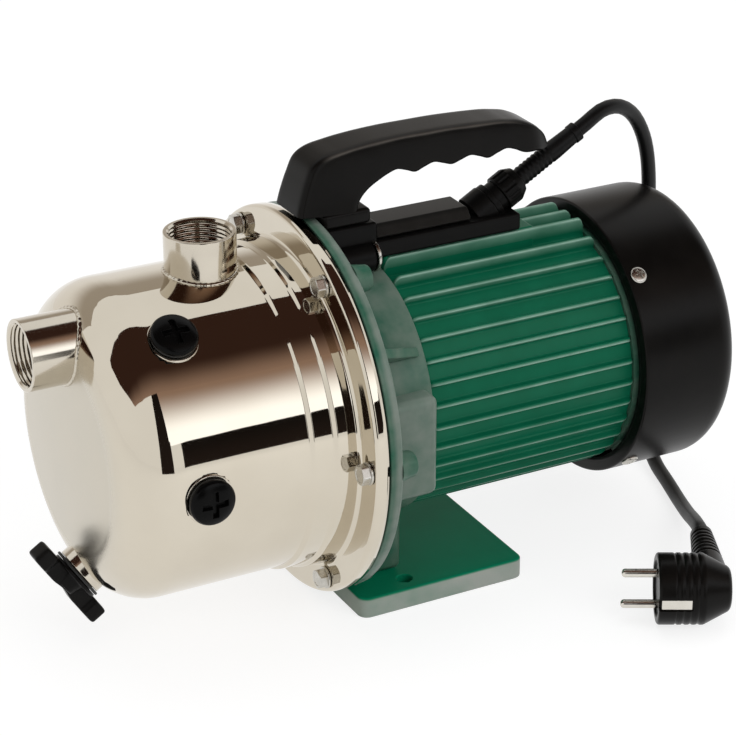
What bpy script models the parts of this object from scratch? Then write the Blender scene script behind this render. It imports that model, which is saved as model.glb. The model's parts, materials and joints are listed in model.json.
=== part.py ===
"""Shallow well jet pump: stainless casing, finned motor on a foot, handle, mains cord and plug.

Lengths are in metres. Most pieces are placed in the pump frame, whose origin is on the shaft axis in the
plane where the casing's flange meets the bracket: x runs along the shaft to the fan, z is up.
The world origin is at the middle of the foot plate's underside.
"""

import math

import bmesh
import bpy
from mathutils import Matrix, Vector

OBJECT_NAME = "shallow_well_jet_pump"

# Shared clearances
GAP = 0.0003
FLOOR_CLEARANCE = 0.0055
ROTOR_AIR_GAP = 0.0005
SHAFT_CLEARANCE = 0.0015
WELD = 0.00001

# Facets round a turn
LARGE_STEPS = 28
MIDDLE_STEPS = 24
SMALL_STEPS = 16
BOLT_STEPS = 10
HOLE_STEPS = 8
HEXAGON = 6
ARC_STEPS = 5
CORNER_STEPS = 6
LOBE_STEPS = 8
EDGE_STEPS = 3
ROUTE_STEPS = 24

# Turn of hidden shapes, so that their edges stay off the edges of the piece that they change
HIDDEN_TURN = 5.0

# Edges that are sharper than this are rounded
SHARP_ANGLE = 40.0

# Casing can
CASING_RADIUS = 0.086
CASING_LENGTH = 0.128
CASING_WALL = 0.0018
CASING_CORNER = 0.030
CASING_DOME = 0.003
CASING_DOME_SHARE = 0.75
CASING_STEP = 0.0018
CASING_STEP_PITCH = 0.0125
FLANGE_WIDTH = 0.0205
FLANGE_THICKNESS = 0.003
FLANGE_CHAMFER = 0.002
RIM_LIP = 0.004

# Casing bolts
BOLT_COUNT = 6
BOLT_RADIUS = 0.003
BOLT_HEAD_RADIUS = 0.0057
BOLT_HEAD_HEIGHT = 0.0045
BOLT_WASHER_RADIUS = 0.0061
BOLT_WASHER_HEIGHT = 0.0012

# Threaded sockets, one inch pipe size
PORT_RADIUS = 0.019
PORT_BORE = 0.016
PORT_CHAMFER = 0.001
SUCTION_HEIGHT = 0.0578
SUCTION_REACH = 0.0225
SUCTION_INSIDE = 0.018
DISCHARGE_X = -0.0496
DISCHARGE_REACH = 0.021
DISCHARGE_INSIDE = 0.010

# Screw plugs on the casing's side
PLUG_SETBACK = 0.0415
PLUG_ANGLES = {"fill": 57.0, "gauge": 0.0}
PLUG_HEAD_RADIUS = 0.0128
PLUG_HEAD_HEIGHT = 0.0053
PLUG_CROWN = ((0.50, 0.06), (0.82, 0.28), (1.00, 0.68))
PLUG_SHANK_RADIUS = 0.0095
PLUG_SHANK_LENGTH = 0.0085
PLUG_SEAL_WIDTH = 0.0017
PLUG_SEAL_HEIGHT = 0.0016
PLUG_BOSS_WALL = 0.004
PLUG_BOSS_DEPTH = 0.0085
CROSS_LENGTH = 0.014
CROSS_WIDTH = 0.0026
CROSS_DEPTH = 0.0025

# Wing drain plug on the casing's lower front corner
DRAIN_TILT = 33.0
DRAIN_SHANK_RADIUS = 0.0105
DRAIN_SHANK_LENGTH = 0.0095
DRAIN_BUSH_WALL = 0.0032
DRAIN_BUSH_PROUD = 0.0025
DRAIN_BUSH_INSIDE = 0.009
DRAIN_GASKET_HEIGHT = 0.0015
DRAIN_FLANGE_RADIUS = 0.0145
DRAIN_FLANGE_HEIGHT = 0.002
WING_LENGTH = 0.056
WING_WAIST = 0.0085
WING_LOBE = 0.0125
WING_HEIGHT = 0.009

# Shaft: radius of each step and the place where it starts
SHAFT_START = -0.048
SHAFT_NUT_RADIUS = 0.004
SHAFT_IMPELLER_RADIUS = 0.006
SHAFT_SEAL_RADIUS = 0.007
SHAFT_FRONT_RADIUS = 0.0085
SHAFT_ROTOR_RADIUS = 0.010
SHAFT_REAR_RADIUS = 0.0075
SHAFT_FAN_RADIUS = 0.006
SHAFT_BEHIND_FAN = 0.011
FAN_SEAT_OFFSET = 0.003
IMPELLER_SEAT = -0.039
SEAL_SEAT_START = -0.0235

# Impeller, diffuser and ejector
IMPELLER_RADIUS = 0.060
IMPELLER_HUB_WALL = 0.005
IMPELLER_PLATE = 0.0025
IMPELLER_PASSAGE = 0.007
IMPELLER_EYE = 0.016
BLADE_COUNT = 6
BLADE_THICKNESS = 0.0022
BLADE_LEAN = 42.0
BLADE_END_SHARE = 0.98
NUT_RADIUS = 0.0068
NUT_HEIGHT = 0.0065
DIFFUSER_WALL = 0.0025
DIFFUSER_RUNNING_GAP = 0.0035
DIFFUSER_HUB_LENGTH = 0.013
DIFFUSER_SLOTS = 8
DIFFUSER_SLOT_WIDTH = 0.016
VENTURI_RADIUS = 0.015
VENTURI_BORE = 0.010
VENTURI_ENTRY = 0.006
SPIGOT_SETBACK = 0.0072
RISER_RADIUS = 0.017
RISER_BORE = 0.0135
RISER_SETBACK = 0.038
RISER_BELOW = 0.020
RISER_ABOVE = 0.019
NOZZLE_RADIUS = 0.008
NOZZLE_BORE = 0.0035
NOZZLE_WALL = 0.002
NOZZLE_TIP_RADIUS = 0.005
NOZZLE_LENGTH = 0.028
NOZZLE_PROUD = 0.004

# Shaft seal, seal plate and gasket
SEAL_ROTATING_RADIUS = 0.014
SEAL_SEAT_RADIUS = 0.0162
SEAL_SEAT_LENGTH = 0.0098
SEAL_FACE_X = -0.0101
SEAL_PLATE_THICKNESS = 0.002
SEAL_PLATE_OVERLAP = 0.0048
SEAL_POCKET_WALL = 0.003
JOINT_THICKNESS = 0.005

# Slinger
SLINGER_RADIUS = 0.016
SLINGER_OFFSET = 0.004
SLINGER_LENGTH = 0.004

# Bearings
FRONT_BEARING_RADIUS = 0.020
FRONT_BEARING_WIDTH = 0.012
FRONT_BEARING_OFFSET = 0.009
REAR_BEARING_RADIUS = 0.0175
REAR_BEARING_WIDTH = 0.011
REAR_BEARING_SETBACK = 0.018
BEARING_INNER_WALL = 0.0037

# Motor bracket and foot
BRACKET_FLANGE_THICKNESS = 0.008
BRACKET_NECK_RADIUS = 0.072
BRACKET_NECK_END = 0.050
BRACKET_NECK_WALL = 0.006
BRACKET_HUB_WALL = 0.0055
BRACKET_STOP = 0.003
BRACKET_SPIGOT = 0.006
BRACKET_SPIGOT_WALL = 0.004
PEDESTAL_HALF_WIDTH = 0.036
FOOT_CENTRE_X = 0.065
FOOT_LENGTH = 0.102
FOOT_WIDTH = 0.116
FOOT_THICKNESS = 0.012
FOOT_CORNER = 0.006
FOOT_HOLE_RADIUS = 0.0045
FOOT_HOLE_X = 0.046
FOOT_HOLE_INSET = 0.011
FOOT_SCREW_RADIUS = 0.003
FOOT_SCREW_HEAD_RADIUS = 0.0055
FOOT_SCREW_HEAD_HEIGHT = 0.005
FOOT_SCREW_REACH = 0.014
FOOT_SCREW_SINK = 0.0015
FOOT_SCREW_X = 0.032
FOOT_SCREW_Y = 0.022

# Stator and finned housing
STATOR_RADIUS = 0.062
STATOR_OFFSET = 0.025
STATOR_SETBACK = 0.031
ROTOR_RADIUS = 0.0335
WINDING_INNER = 0.036
WINDING_OUTER = 0.0565
WINDING_LENGTH = 0.0165
HOUSING_WALL = 0.005
HOUSING_END = 0.176
FIN_COUNT = 36
FIN_HEIGHT = 0.0034
FIN_ROOT = 0.0034
FIN_TIP = 0.0022
PLATFORM_RISE = 0.007
PLATFORM_HALF_WIDTH = 0.0185
PLATFORM_ROOT_SHARE = 0.94
PLATFORM_BEHIND_BOX = 0.0105
WIRE_HOLE_RADIUS = 0.005
WIRE_HOLE_SETBACK = 0.0375

# Rear end shield, fan and fan cover
SHIELD_THICKNESS = 0.0052
SHIELD_OVERLAP = 0.007
SHIELD_SPIGOT = 0.007
SHIELD_SPIGOT_WALL = 0.005
SHIELD_HUB_WALL = 0.0055
LUG_WIDTH = 0.013
LUG_LENGTH = 0.009
LUG_ROOT_SHARE = 0.85
FAN_RADIUS = 0.066
FAN_OFFSET = 0.0105
FAN_LENGTH = 0.022
FAN_DISC = 0.0025
FAN_DISC_SHARE = 0.97
FAN_HUB_WALL = 0.006
FAN_BLADES = 8
FAN_BLADE_THICKNESS = 0.002
COVER_RADIUS = 0.07935
COVER_OFFSET = 0.002
COVER_LENGTH = 0.0624
COVER_WALL = 0.002
COVER_LIP = 0.008
COVER_CORNER = 0.013
COVER_SCREWS = 4
COVER_SCREW_OFFSET = 0.0068
COVER_SCREW_RADIUS = 0.002
COVER_SCREW_HEAD_RADIUS = 0.0048
COVER_SCREW_HEAD_HEIGHT = 0.002
COVER_SCREW_CROWN_SHARE = 0.7
COVER_SCREW_EDGE_SHARE = 0.4
COVER_SCREW_REACH = 0.0075
GRILLE_RINGS = ((0.014, 0.032, 10), (0.037, 0.062, 20))
GRILLE_SLOT = 0.0045

# Terminal box
BOX_HALF_WIDTH = 0.016
BOX_END = 0.134
BOX_HEIGHT = 0.010
BOX_FLOOR = 0.002
PILLAR_BEFORE_NECK_END = 0.004
PILLAR_SETBACK = 0.001
BULGE_RADIUS = 0.008
BULGE_START = 0.020
BULGE_END = 0.042
LID_LENGTH = 0.058
LID_HEIGHT = 0.0067
LID_BASE_HALF_WIDTH = 0.0135
LID_TOP_HALF_WIDTH = 0.009
LID_EDGE = 0.002
LID_WALL = 0.0025
CAPACITOR_OFFSET = 0.0067
CAPACITOR_LENGTH = 0.037
CAPACITOR_HALF_WIDTH = 0.0095
CAPACITOR_HEIGHT = 0.0105

# Handle, sideways outline measured from the joint plane and the handle's seat
HANDLE_HALF_WIDTH = 0.012
HANDLE_FOOT_HALF_WIDTH = 0.016
HANDLE_FOOT_HEIGHT = 0.0085
HANDLE_SEAT_DROP = 0.007
HANDLE_NOTCH_RISE = 0.0075
HANDLE_FRONT = 0.004
HANDLE_FOOT_SETBACK = 0.004
HANDLE_ROUND = 0.0028
GRIP_START = 0.052
GRIP_PITCH = 0.0223
GRIP_GROOVES = 4
GRIP_SEAT_RISE = 0.0235
GRIP_SWELL = 0.001
GROOVE_DEPTH = 0.0038
HANDLE_TOP = ((0.158, 0.026), (0.142, 0.0365), (0.116, 0.0415), (0.062, 0.0435), (0.030, 0.0405),
              (0.015, 0.0350), (0.0065, 0.0200))
HANDLE_TIP = (0.160, 0.0205)
HANDLE_LEG = ((0.0385, 0.0070), (0.0435, 0.0165))

# Cable gland, along its own axis
GLAND_SETBACK = 0.012
GLAND_RISE = 0.0022
GLAND_TILT = 30.1
GLAND_BOSS_RADIUS = 0.0112
GLAND_BOSS_LENGTH = 0.012
GLAND_RADIUS = 0.0102
GLAND_BODY_LENGTH = 0.008
GLAND_COLLAR_LENGTH = 0.0035
GLAND_COLLAR_SHARE = 1.04
GLAND_NECK_SHARE = 0.86
GLAND_NUT_LENGTH = 0.0135
GLAND_NUT_CONE = 0.005
GLAND_NUT_LIP = 0.0012
GUARD_LENGTH = 0.043
GUARD_RADIUS = 0.0056
GUARD_TIP_RADIUS = 0.005
GUARD_TIP_TAPER = 0.0002
GUARD_RIBS = 8
GUARD_RIB_PITCH = 0.0028
GUARD_RIB_DEPTH = 0.0007

# Mains cord route in the pump frame, from the kink guard to the plug
CORD_RADIUS = 0.0042
CORD_STEP = 0.018
CORD_LEAD = 0.006
CORD_ROUTE = ((0.1965, 0.0032, 0.1308), (0.2105, 0.0080, 0.1290), (0.2235, 0.0135, 0.1205),
              (0.2340, 0.0185, 0.1065), (0.2420, 0.0240, 0.0895), (0.2490, 0.0312, 0.0680),
              (0.2548, 0.0392, 0.0440), (0.2595, 0.0460, 0.0170), (0.2620, 0.0505, -0.0140),
              (0.2628, 0.0510, -0.0450), (0.2622, 0.0480, -0.0690), (0.2605, 0.0420, -0.0880),
              (0.2575, 0.0310, -0.1010), (0.2530, 0.0150, -0.1072), (0.2460, -0.0080, -0.1075),
              (0.2380, -0.0320, -0.1068), (0.2295, -0.0530, -0.1030), (0.2215, -0.0710, -0.0975))

# Mains plug, lying on the floor
MAINS_PLUG_FACE = (0.154, -0.132)
MAINS_PLUG_HEADING = 151.6
MAINS_PLUG_RADIUS = 0.0195
MAINS_PLUG_LENGTH = 0.025
MAINS_PLUG_BACK = 0.015
MAINS_PLUG_BACK_RADIUS = 0.0115
MAINS_PLUG_EDGE = 0.0015
BOOT_OFFSET = 0.031
BOOT_REACH = 0.061
BOOT_ROOT_RADIUS = 0.0095
BOOT_TIP_RADIUS = 0.0062
BOOT_ROOT_SHARE = 0.8
PIN_RADIUS = 0.0024
PIN_LENGTH = 0.019
PIN_SEAT = 0.006
PIN_SPACING = 0.019
CLIP_LENGTH = 0.018
CLIP_WIDTH = 0.006
CLIP_THICKNESS = 0.0012
CLIP_NOTCH_DEPTH = 0.0030

# Sizes that follow from the ones above
FLANGE_RADIUS = CASING_RADIUS + FLANGE_WIDTH
FLANGE_INNER = CASING_RADIUS + 2 * CASING_STEP - CASING_WALL
BOLT_CIRCLE = CASING_RADIUS + CASING_STEP + FLANGE_WIDTH / 2
BRACKET_FLANGE_RADIUS = FLANGE_RADIUS - CASING_WALL - GAP
SEAL_PLATE_RADIUS = FLANGE_INNER + SEAL_PLATE_OVERLAP
SHAFT_HEIGHT = FLANGE_RADIUS + FLOOR_CLEARANCE
PLUG_X = PLUG_SETBACK - CASING_LENGTH
RISER_X = RISER_SETBACK - CASING_LENGTH
BRACKET_REAR = JOINT_THICKNESS + BRACKET_FLANGE_THICKNESS
FRONT_BEARING_X = BRACKET_REAR + FRONT_BEARING_OFFSET
REAR_BEARING_X = HOUSING_END - REAR_BEARING_SETBACK
STATOR_START = BRACKET_NECK_END + STATOR_OFFSET
STATOR_END = HOUSING_END - STATOR_SETBACK
HOUSING_BORE = STATOR_RADIUS + GAP
HOUSING_START = BRACKET_NECK_END + GAP
FIN_BASE_RADIUS = HOUSING_BORE + HOUSING_WALL
FIN_RADIUS = FIN_BASE_RADIUS + FIN_HEIGHT
PLATFORM_TOP = FIN_RADIUS + PLATFORM_RISE
BOX_BOTTOM = PLATFORM_TOP + GAP
BOX_TOP = BOX_BOTTOM + BOX_HEIGHT
PLATFORM_END = BOX_END + PLATFORM_BEHIND_BOX
PILLAR_END = BRACKET_NECK_END - PILLAR_BEFORE_NECK_END
WIRE_HOLE_X = BOX_END - WIRE_HOLE_SETBACK
GLAND_X = BOX_END - GLAND_SETBACK
HANDLE_SEAT = FLANGE_RADIUS - HANDLE_SEAT_DROP
HANDLE_FOOT_END = PILLAR_END - HANDLE_FOOT_SETBACK
LID_START = PILLAR_END + GAP
LID_END = LID_START + LID_LENGTH
CAPACITOR_START = LID_START + CAPACITOR_OFFSET
FOOT_TOP = FOOT_THICKNESS - SHAFT_HEIGHT
IMPELLER_BACK = SEAL_SEAT_START - GAP
SHIELD_START = HOUSING_END + GAP
SHIELD_END = SHIELD_START + SHIELD_THICKNESS
SHIELD_RADIUS = HOUSING_BORE + SHIELD_OVERLAP
FAN_START = SHIELD_END + FAN_OFFSET
SHAFT_END = FAN_START + FAN_LENGTH + SHAFT_BEHIND_FAN
COVER_START = HOUSING_END + COVER_OFFSET
COVER_END = COVER_START + COVER_LENGTH
COVER_SCREW_X = COVER_START + COVER_SCREW_OFFSET

FINISHES = {
    "stainless": ((0.62, 0.58, 0.53), 0.12, 1.0),
    "steel": ((0.48, 0.48, 0.48), 0.30, 1.0),
    "zinc": ((0.66, 0.65, 0.62), 0.25, 1.0),
    "green": ((0.003, 0.117, 0.048), 0.30, 0.0),
    "black": ((0.012, 0.012, 0.012), 0.42, 0.0),
    "grey": ((0.045, 0.045, 0.045), 0.50, 0.0),
    "rubber": ((0.016, 0.016, 0.016), 0.60, 0.0),
    "white": ((0.75, 0.75, 0.72), 0.45, 0.0),
    "brass": ((0.72, 0.47, 0.15), 0.28, 1.0),
    "copper": ((0.62, 0.24, 0.09), 0.40, 1.0),
    "nickel": ((0.70, 0.66, 0.58), 0.20, 1.0),
}


def clear_scene():
    """Remove every object of the open scene."""
    for old in list(bpy.data.objects):
        bpy.data.objects.remove(old, do_unlink=True)


def new_collection(name):
    """Make a collection under the scene's own collection."""
    collection = bpy.data.collections.new(name)
    bpy.context.scene.collection.children.link(collection)
    return collection


def finish_material(node_name, finish):
    """Make one part's own Principled material from a named finish."""
    colour, roughness, metallic = FINISHES[finish]
    material = bpy.data.materials.new(node_name + "_finish")
    material.use_nodes = True
    shader = material.node_tree.nodes["Principled BSDF"]
    shader.inputs["Base Color"].default_value = (*colour, 1.0)
    shader.inputs["Roughness"].default_value = roughness
    shader.inputs["Metallic"].default_value = metallic
    return material


clear_scene()
PARTS = new_collection(OBJECT_NAME)
CUTTERS = new_collection(OBJECT_NAME + "_cutters")


def new_frame(name, location, parent=None, direction=None, roll=0.0):
    """Make an empty that carries pieces; its Z axis points along a direction where one is given."""
    frame = bpy.data.objects.new(name, None)
    PARTS.objects.link(frame)
    frame.parent = parent
    frame.location = location
    if direction is not None:
        turn = Vector(direction).to_track_quat("Z", "Y").to_euler()
        frame.rotation_euler = turn
        frame.rotation_euler.rotate_axis("Z", roll)
    return frame


def place(name, data, parent, finish):
    """Link a mesh as a part, or as a hidden cutter where it has no finish."""
    piece = bpy.data.objects.new(name, data)
    piece.parent = parent
    if finish is None:
        CUTTERS.objects.link(piece)
        piece.hide_render = True
        piece.display_type = "WIRE"
    else:
        PARTS.objects.link(piece)
        data.materials.append(finish_material(name, finish))
    return piece


def runs_down(profile):
    """Order a profile so that its outer side runs from top to bottom."""
    area = 0.0
    for index, (radius, along) in enumerate(profile):
        next_radius, next_along = profile[(index + 1) % len(profile)]
        area += radius * next_along - next_radius * along
    return list(reversed(profile)) if area > 0.0 else list(profile)


def turned(name, profile, parent, finish=None, steps=MIDDLE_STEPS, shell=False):
    """Turn a profile of (radius, along) points round its parent's Z axis.

    A profile that starts and ends on the axis makes a solid, and any other makes a ring. A shell's profile
    runs from its open rim to the axis.
    """
    points = list(profile) if shell else runs_down(profile)
    on_axis = [index for index, point in enumerate(points) if point[0] == 0.0]
    if not shell and on_axis:
        while not (points[0][0] == 0.0 and points[-1][0] == 0.0):
            points.append(points.pop(0))
    closed = not shell and not on_axis
    edges = [(index, index + 1) for index in range(len(points) - 1)]
    if closed:
        edges.append((len(points) - 1, 0))
    mesh = bpy.data.meshes.new(name)
    mesh.from_pydata([(radius, 0.0, along) for radius, along in points], edges, [])
    piece = place(name, mesh, parent, finish)
    if finish is None:
        piece.rotation_euler = (0.0, 0.0, math.radians(HIDDEN_TURN))
    screw = piece.modifiers.new("turn", "SCREW")
    screw.steps = steps
    screw.render_steps = steps
    screw.use_merge_vertices = True
    screw.merge_threshold = WELD
    screw.use_smooth_shade = True
    return piece


def ring(inner, outer, low, high):
    """Give the square profile of a plain ring."""
    return [(outer, high), (outer, low), (inner, low), (inner, high)]


def rod(radius, low, high):
    """Give the profile of a plain solid cylinder."""
    return [(0.0, high), (radius, high), (radius, low), (0.0, low)]


def arc(centre_radius, centre_along, size, start, end, steps=ARC_STEPS):
    """Give the points of a round stretch, with angles in degrees from the outward direction."""
    points = []
    for index in range(steps + 1):
        angle = math.radians(start + (end - start) * index / steps)
        points.append((centre_radius + size * math.cos(angle), centre_along + size * math.sin(angle)))
    return points


def box(name, low, high, parent, finish=None):
    """Make a box between two corners, in its parent's frame."""
    mesh = bpy.data.meshes.new(name)
    shape = bmesh.new()
    bmesh.ops.create_cube(shape, size=1.0)
    size = Vector(high) - Vector(low)
    bmesh.ops.scale(shape, vec=size, verts=shape.verts)
    bmesh.ops.translate(shape, vec=(Vector(high) + Vector(low)) / 2, verts=shape.verts)
    shape.to_mesh(mesh)
    shape.free()
    return place(name, mesh, parent, finish)


def box_ring(name, low, high, count, parent, finish=None, lean=0.0, start=0.0):
    """Make equal boxes round the parent's Z axis as one mesh; lean tips each about its inner end."""
    mesh = bpy.data.meshes.new(name)
    shape = bmesh.new()
    for index in range(count):
        made = bmesh.ops.create_cube(shape, size=1.0)["verts"]
        size = Vector(high) - Vector(low)
        bmesh.ops.scale(shape, vec=size, verts=made)
        bmesh.ops.translate(shape, vec=(Vector(high) + Vector(low)) / 2, verts=made)
        tip = Matrix.Rotation(math.radians(lean), 3, "Z")
        bmesh.ops.rotate(shape, cent=(low[0], 0.0, 0.0), matrix=tip, verts=made)
        turn = Matrix.Rotation(math.radians(start + 360.0 * index / count), 3, "Z")
        bmesh.ops.rotate(shape, cent=(0.0, 0.0, 0.0), matrix=turn, verts=made)
    shape.to_mesh(mesh)
    shape.free()
    return place(name, mesh, parent, finish)


def prism(name, outlines, low, high, parent, finish=None, smooth=0):
    """Extrude closed outlines of the parent's XY plane from low to high; an inner outline is a hole."""
    curve = bpy.data.curves.new(name, "CURVE")
    curve.dimensions = "2D"
    curve.fill_mode = "BOTH"
    curve.extrude = (high - low) / 2
    for outline in outlines:
        if smooth:
            add_smooth_spline(curve, outline, smooth)
        else:
            spline = curve.splines.new("POLY")
            spline.points.add(len(outline) - 1)
            for point, (x, y) in zip(spline.points, outline):
                point.co = (x, y, 0.0, 1.0)
            spline.use_cyclic_u = True
    mesh = curve_mesh(name, curve)
    mesh.transform(Matrix.Translation((0.0, 0.0, (high + low) / 2)))
    return place(name, mesh, parent, finish)


def add_smooth_spline(curve, outline, resolution):
    """Add a closed smooth spline; a point with a third value is a sharp corner."""
    spline = curve.splines.new("BEZIER")
    spline.bezier_points.add(len(outline) - 1)
    spline.resolution_u = resolution
    for knot, point in zip(spline.bezier_points, outline):
        knot.co = (point[0], point[1], 0.0)
        handle = "VECTOR" if len(point) > 2 else "AUTO"
        knot.handle_left_type = handle
        knot.handle_right_type = handle
    spline.use_cyclic_u = True


def curve_mesh(name, curve):
    """Turn a curve into a closed mesh, with its caps welded on."""
    holder = bpy.data.objects.new(name + "_curve", curve)
    bpy.context.scene.collection.objects.link(holder)
    evaluated = holder.evaluated_get(bpy.context.evaluated_depsgraph_get())
    mesh = bpy.data.meshes.new_from_object(evaluated)
    bpy.data.objects.remove(holder, do_unlink=True)
    shape = bmesh.new()
    shape.from_mesh(mesh)
    bmesh.ops.remove_doubles(shape, verts=shape.verts, dist=WELD)
    bmesh.ops.recalc_face_normals(shape, faces=shape.faces)
    shape.to_mesh(mesh)
    shape.free()
    mesh.name = name
    return mesh


def combine(piece, others, operation):
    """Add a Boolean with each of the other objects."""
    for other in others:
        change = piece.modifiers.new(other.name, "BOOLEAN")
        change.operation = operation
        change.object = other
        change.solver = "EXACT"


def cut(piece, *cutters):
    """Cut other shapes out of a piece."""
    combine(piece, cutters, "DIFFERENCE")


def join(piece, *others):
    """Join other shapes to a piece as one body."""
    combine(piece, others, "UNION")


def round_edges(piece, width, segments=1):
    """Round a piece's sharp edges."""
    bevel = piece.modifiers.new("round", "BEVEL")
    bevel.width = width
    bevel.segments = segments
    bevel.limit_method = "ANGLE"
    bevel.angle_limit = math.radians(SHARP_ANGLE)


PUMP = new_frame("pump_frame", (-FOOT_CENTRE_X, 0.0, SHAFT_HEIGHT))
SHAFT_LINE = new_frame("shaft_line", (0.0, 0.0, 0.0), PUMP, (1.0, 0.0, 0.0))


def side_direction(angle):
    """Give a direction square to the shaft, by its angle above the side that carries the screw plugs."""
    return (0.0, -math.cos(math.radians(angle)), math.sin(math.radians(angle)))


def around_shaft(name, x, radius, angle, along_shaft):
    """Make a frame at a radius from the shaft, facing out or along the shaft."""
    outward = Vector(side_direction(angle))
    place_at = outward * radius + Vector((x, 0.0, 0.0))
    facing = (1.0, 0.0, 0.0) if along_shaft else outward
    return new_frame(name, place_at, PUMP, facing)


BOLT_FRAMES = [
    around_shaft(f"bolt_frame_{number + 1}", 0.0, BOLT_CIRCLE, 360.0 * number / BOLT_COUNT, True)
    for number in range(BOLT_COUNT)
]
PLUG_FRAMES = {
    name: around_shaft(name + "_plug_frame", PLUG_X, CASING_RADIUS, angle, False)
    for name, angle in PLUG_ANGLES.items()
}
SUCTION_FRAME = new_frame("suction_frame", (-CASING_LENGTH, 0.0, SUCTION_HEIGHT), PUMP, (-1.0, 0.0, 0.0))
DISCHARGE_FRAME = new_frame("discharge_frame", (DISCHARGE_X, 0.0, CASING_RADIUS), PUMP, (0.0, 0.0, 1.0))


def drain_frame():
    """Make the drain plug's frame on the casing's round front corner, facing forward and down."""
    tilt = math.radians(DRAIN_TILT)
    corner = Vector((CASING_CORNER - CASING_LENGTH, 0.0, CASING_CORNER - CASING_RADIUS))
    outward = Vector((-math.cos(tilt), 0.0, -math.sin(tilt)))
    return new_frame("drain_frame", corner + outward * CASING_CORNER, PUMP, outward, math.pi / 2)


DRAIN_FRAME = drain_frame()


def casing_profile():
    """Give the can's outer profile, from the rim's lip over the flange and the shell to its front."""
    first_step = CASING_RADIUS + CASING_STEP
    second_step = CASING_RADIUS + 2 * CASING_STEP
    chamfer = FLANGE_CHAMFER
    step_start = -FLANGE_THICKNESS - CASING_STEP_PITCH
    shell_start = step_start - CASING_STEP_PITCH
    front = -CASING_LENGTH
    rim = [
        (FLANGE_RADIUS, RIM_LIP),
        (FLANGE_RADIUS, chamfer - FLANGE_THICKNESS),
        (FLANGE_RADIUS - chamfer, -FLANGE_THICKNESS),
    ]
    steps = [
        (second_step + chamfer, -FLANGE_THICKNESS),
        (second_step, -FLANGE_THICKNESS - chamfer),
        (second_step, step_start),
        (first_step, step_start - CASING_STEP),
        (first_step, shell_start),
        (CASING_RADIUS, shell_start - CASING_STEP),
    ]
    corner = arc(CASING_RADIUS - CASING_CORNER, front + CASING_CORNER, CASING_CORNER, 0.0, -90.0,
                 CORNER_STEPS)
    middle = (CASING_RADIUS - CASING_CORNER) / 2
    dome = [(middle, front - CASING_DOME * CASING_DOME_SHARE), (0.0, front - CASING_DOME)]
    return rim + steps + corner + dome


def make_casing():
    """Make the stainless can with its bosses, socket holes and bolt holes."""
    casing = turned("pump_casing", casing_profile(), SHAFT_LINE, "stainless", LARGE_STEPS, shell=True)
    wall = casing.modifiers.new("wall", "SOLIDIFY")
    wall.thickness = CASING_WALL
    wall.offset = -1.0
    wall.use_even_offset = True
    boss_radius = PLUG_SHANK_RADIUS + GAP + PLUG_BOSS_WALL
    sink = CASING_RADIUS - math.sqrt(CASING_RADIUS ** 2 - boss_radius ** 2) + CASING_WALL / 2
    hole_depth = PLUG_BOSS_DEPTH + CASING_WALL + GAP
    for name, frame in PLUG_FRAMES.items():
        boss = rod(boss_radius, -CASING_WALL - PLUG_BOSS_DEPTH, -sink)
        join(casing, turned(f"{name}_boss", boss, frame, steps=SMALL_STEPS))
        hole = rod(PLUG_SHANK_RADIUS + GAP, -hole_depth - CASING_WALL, CASING_WALL)
        cut(casing, turned(f"cut_{name}_hole", hole, frame, steps=SMALL_STEPS))
    hole = rod(PORT_RADIUS + GAP, -SUCTION_INSIDE, SUCTION_REACH)
    cut(casing, turned("cut_suction_hole", hole, SUCTION_FRAME))
    hole = rod(PORT_RADIUS + GAP, -DISCHARGE_INSIDE, DISCHARGE_REACH)
    cut(casing, turned("cut_discharge_hole", hole, DISCHARGE_FRAME))
    bush_radius = DRAIN_SHANK_RADIUS + GAP + DRAIN_BUSH_WALL
    hole = rod(bush_radius + GAP, -DRAIN_BUSH_INSIDE, DRAIN_BUSH_INSIDE)
    cut(casing, turned("cut_drain_hole", hole, DRAIN_FRAME, steps=SMALL_STEPS))
    for number, frame in enumerate(BOLT_FRAMES):
        hole = rod(BOLT_RADIUS + GAP, -FLANGE_THICKNESS * 2, FLANGE_THICKNESS)
        cut(casing, turned(f"cut_flange_hole_{number + 1}", hole, frame, steps=HOLE_STEPS))
    return casing


def socket_profile(inside, reach):
    """Give a socket's profile, with a chamfer at the mouth of its bore."""
    return [
        (PORT_RADIUS, reach), (PORT_RADIUS, -inside), (PORT_BORE, -inside), (PORT_BORE, reach - PORT_CHAMFER),
        (PORT_BORE + PORT_CHAMFER, reach),
    ]


def make_ports():
    """Make the suction and discharge sockets, which pass through the can's wall."""
    turned("suction_port", socket_profile(SUCTION_INSIDE, SUCTION_REACH), SUCTION_FRAME, "stainless")
    turned("discharge_port", socket_profile(DISCHARGE_INSIDE, DISCHARGE_REACH), DISCHARGE_FRAME, "stainless")


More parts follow.
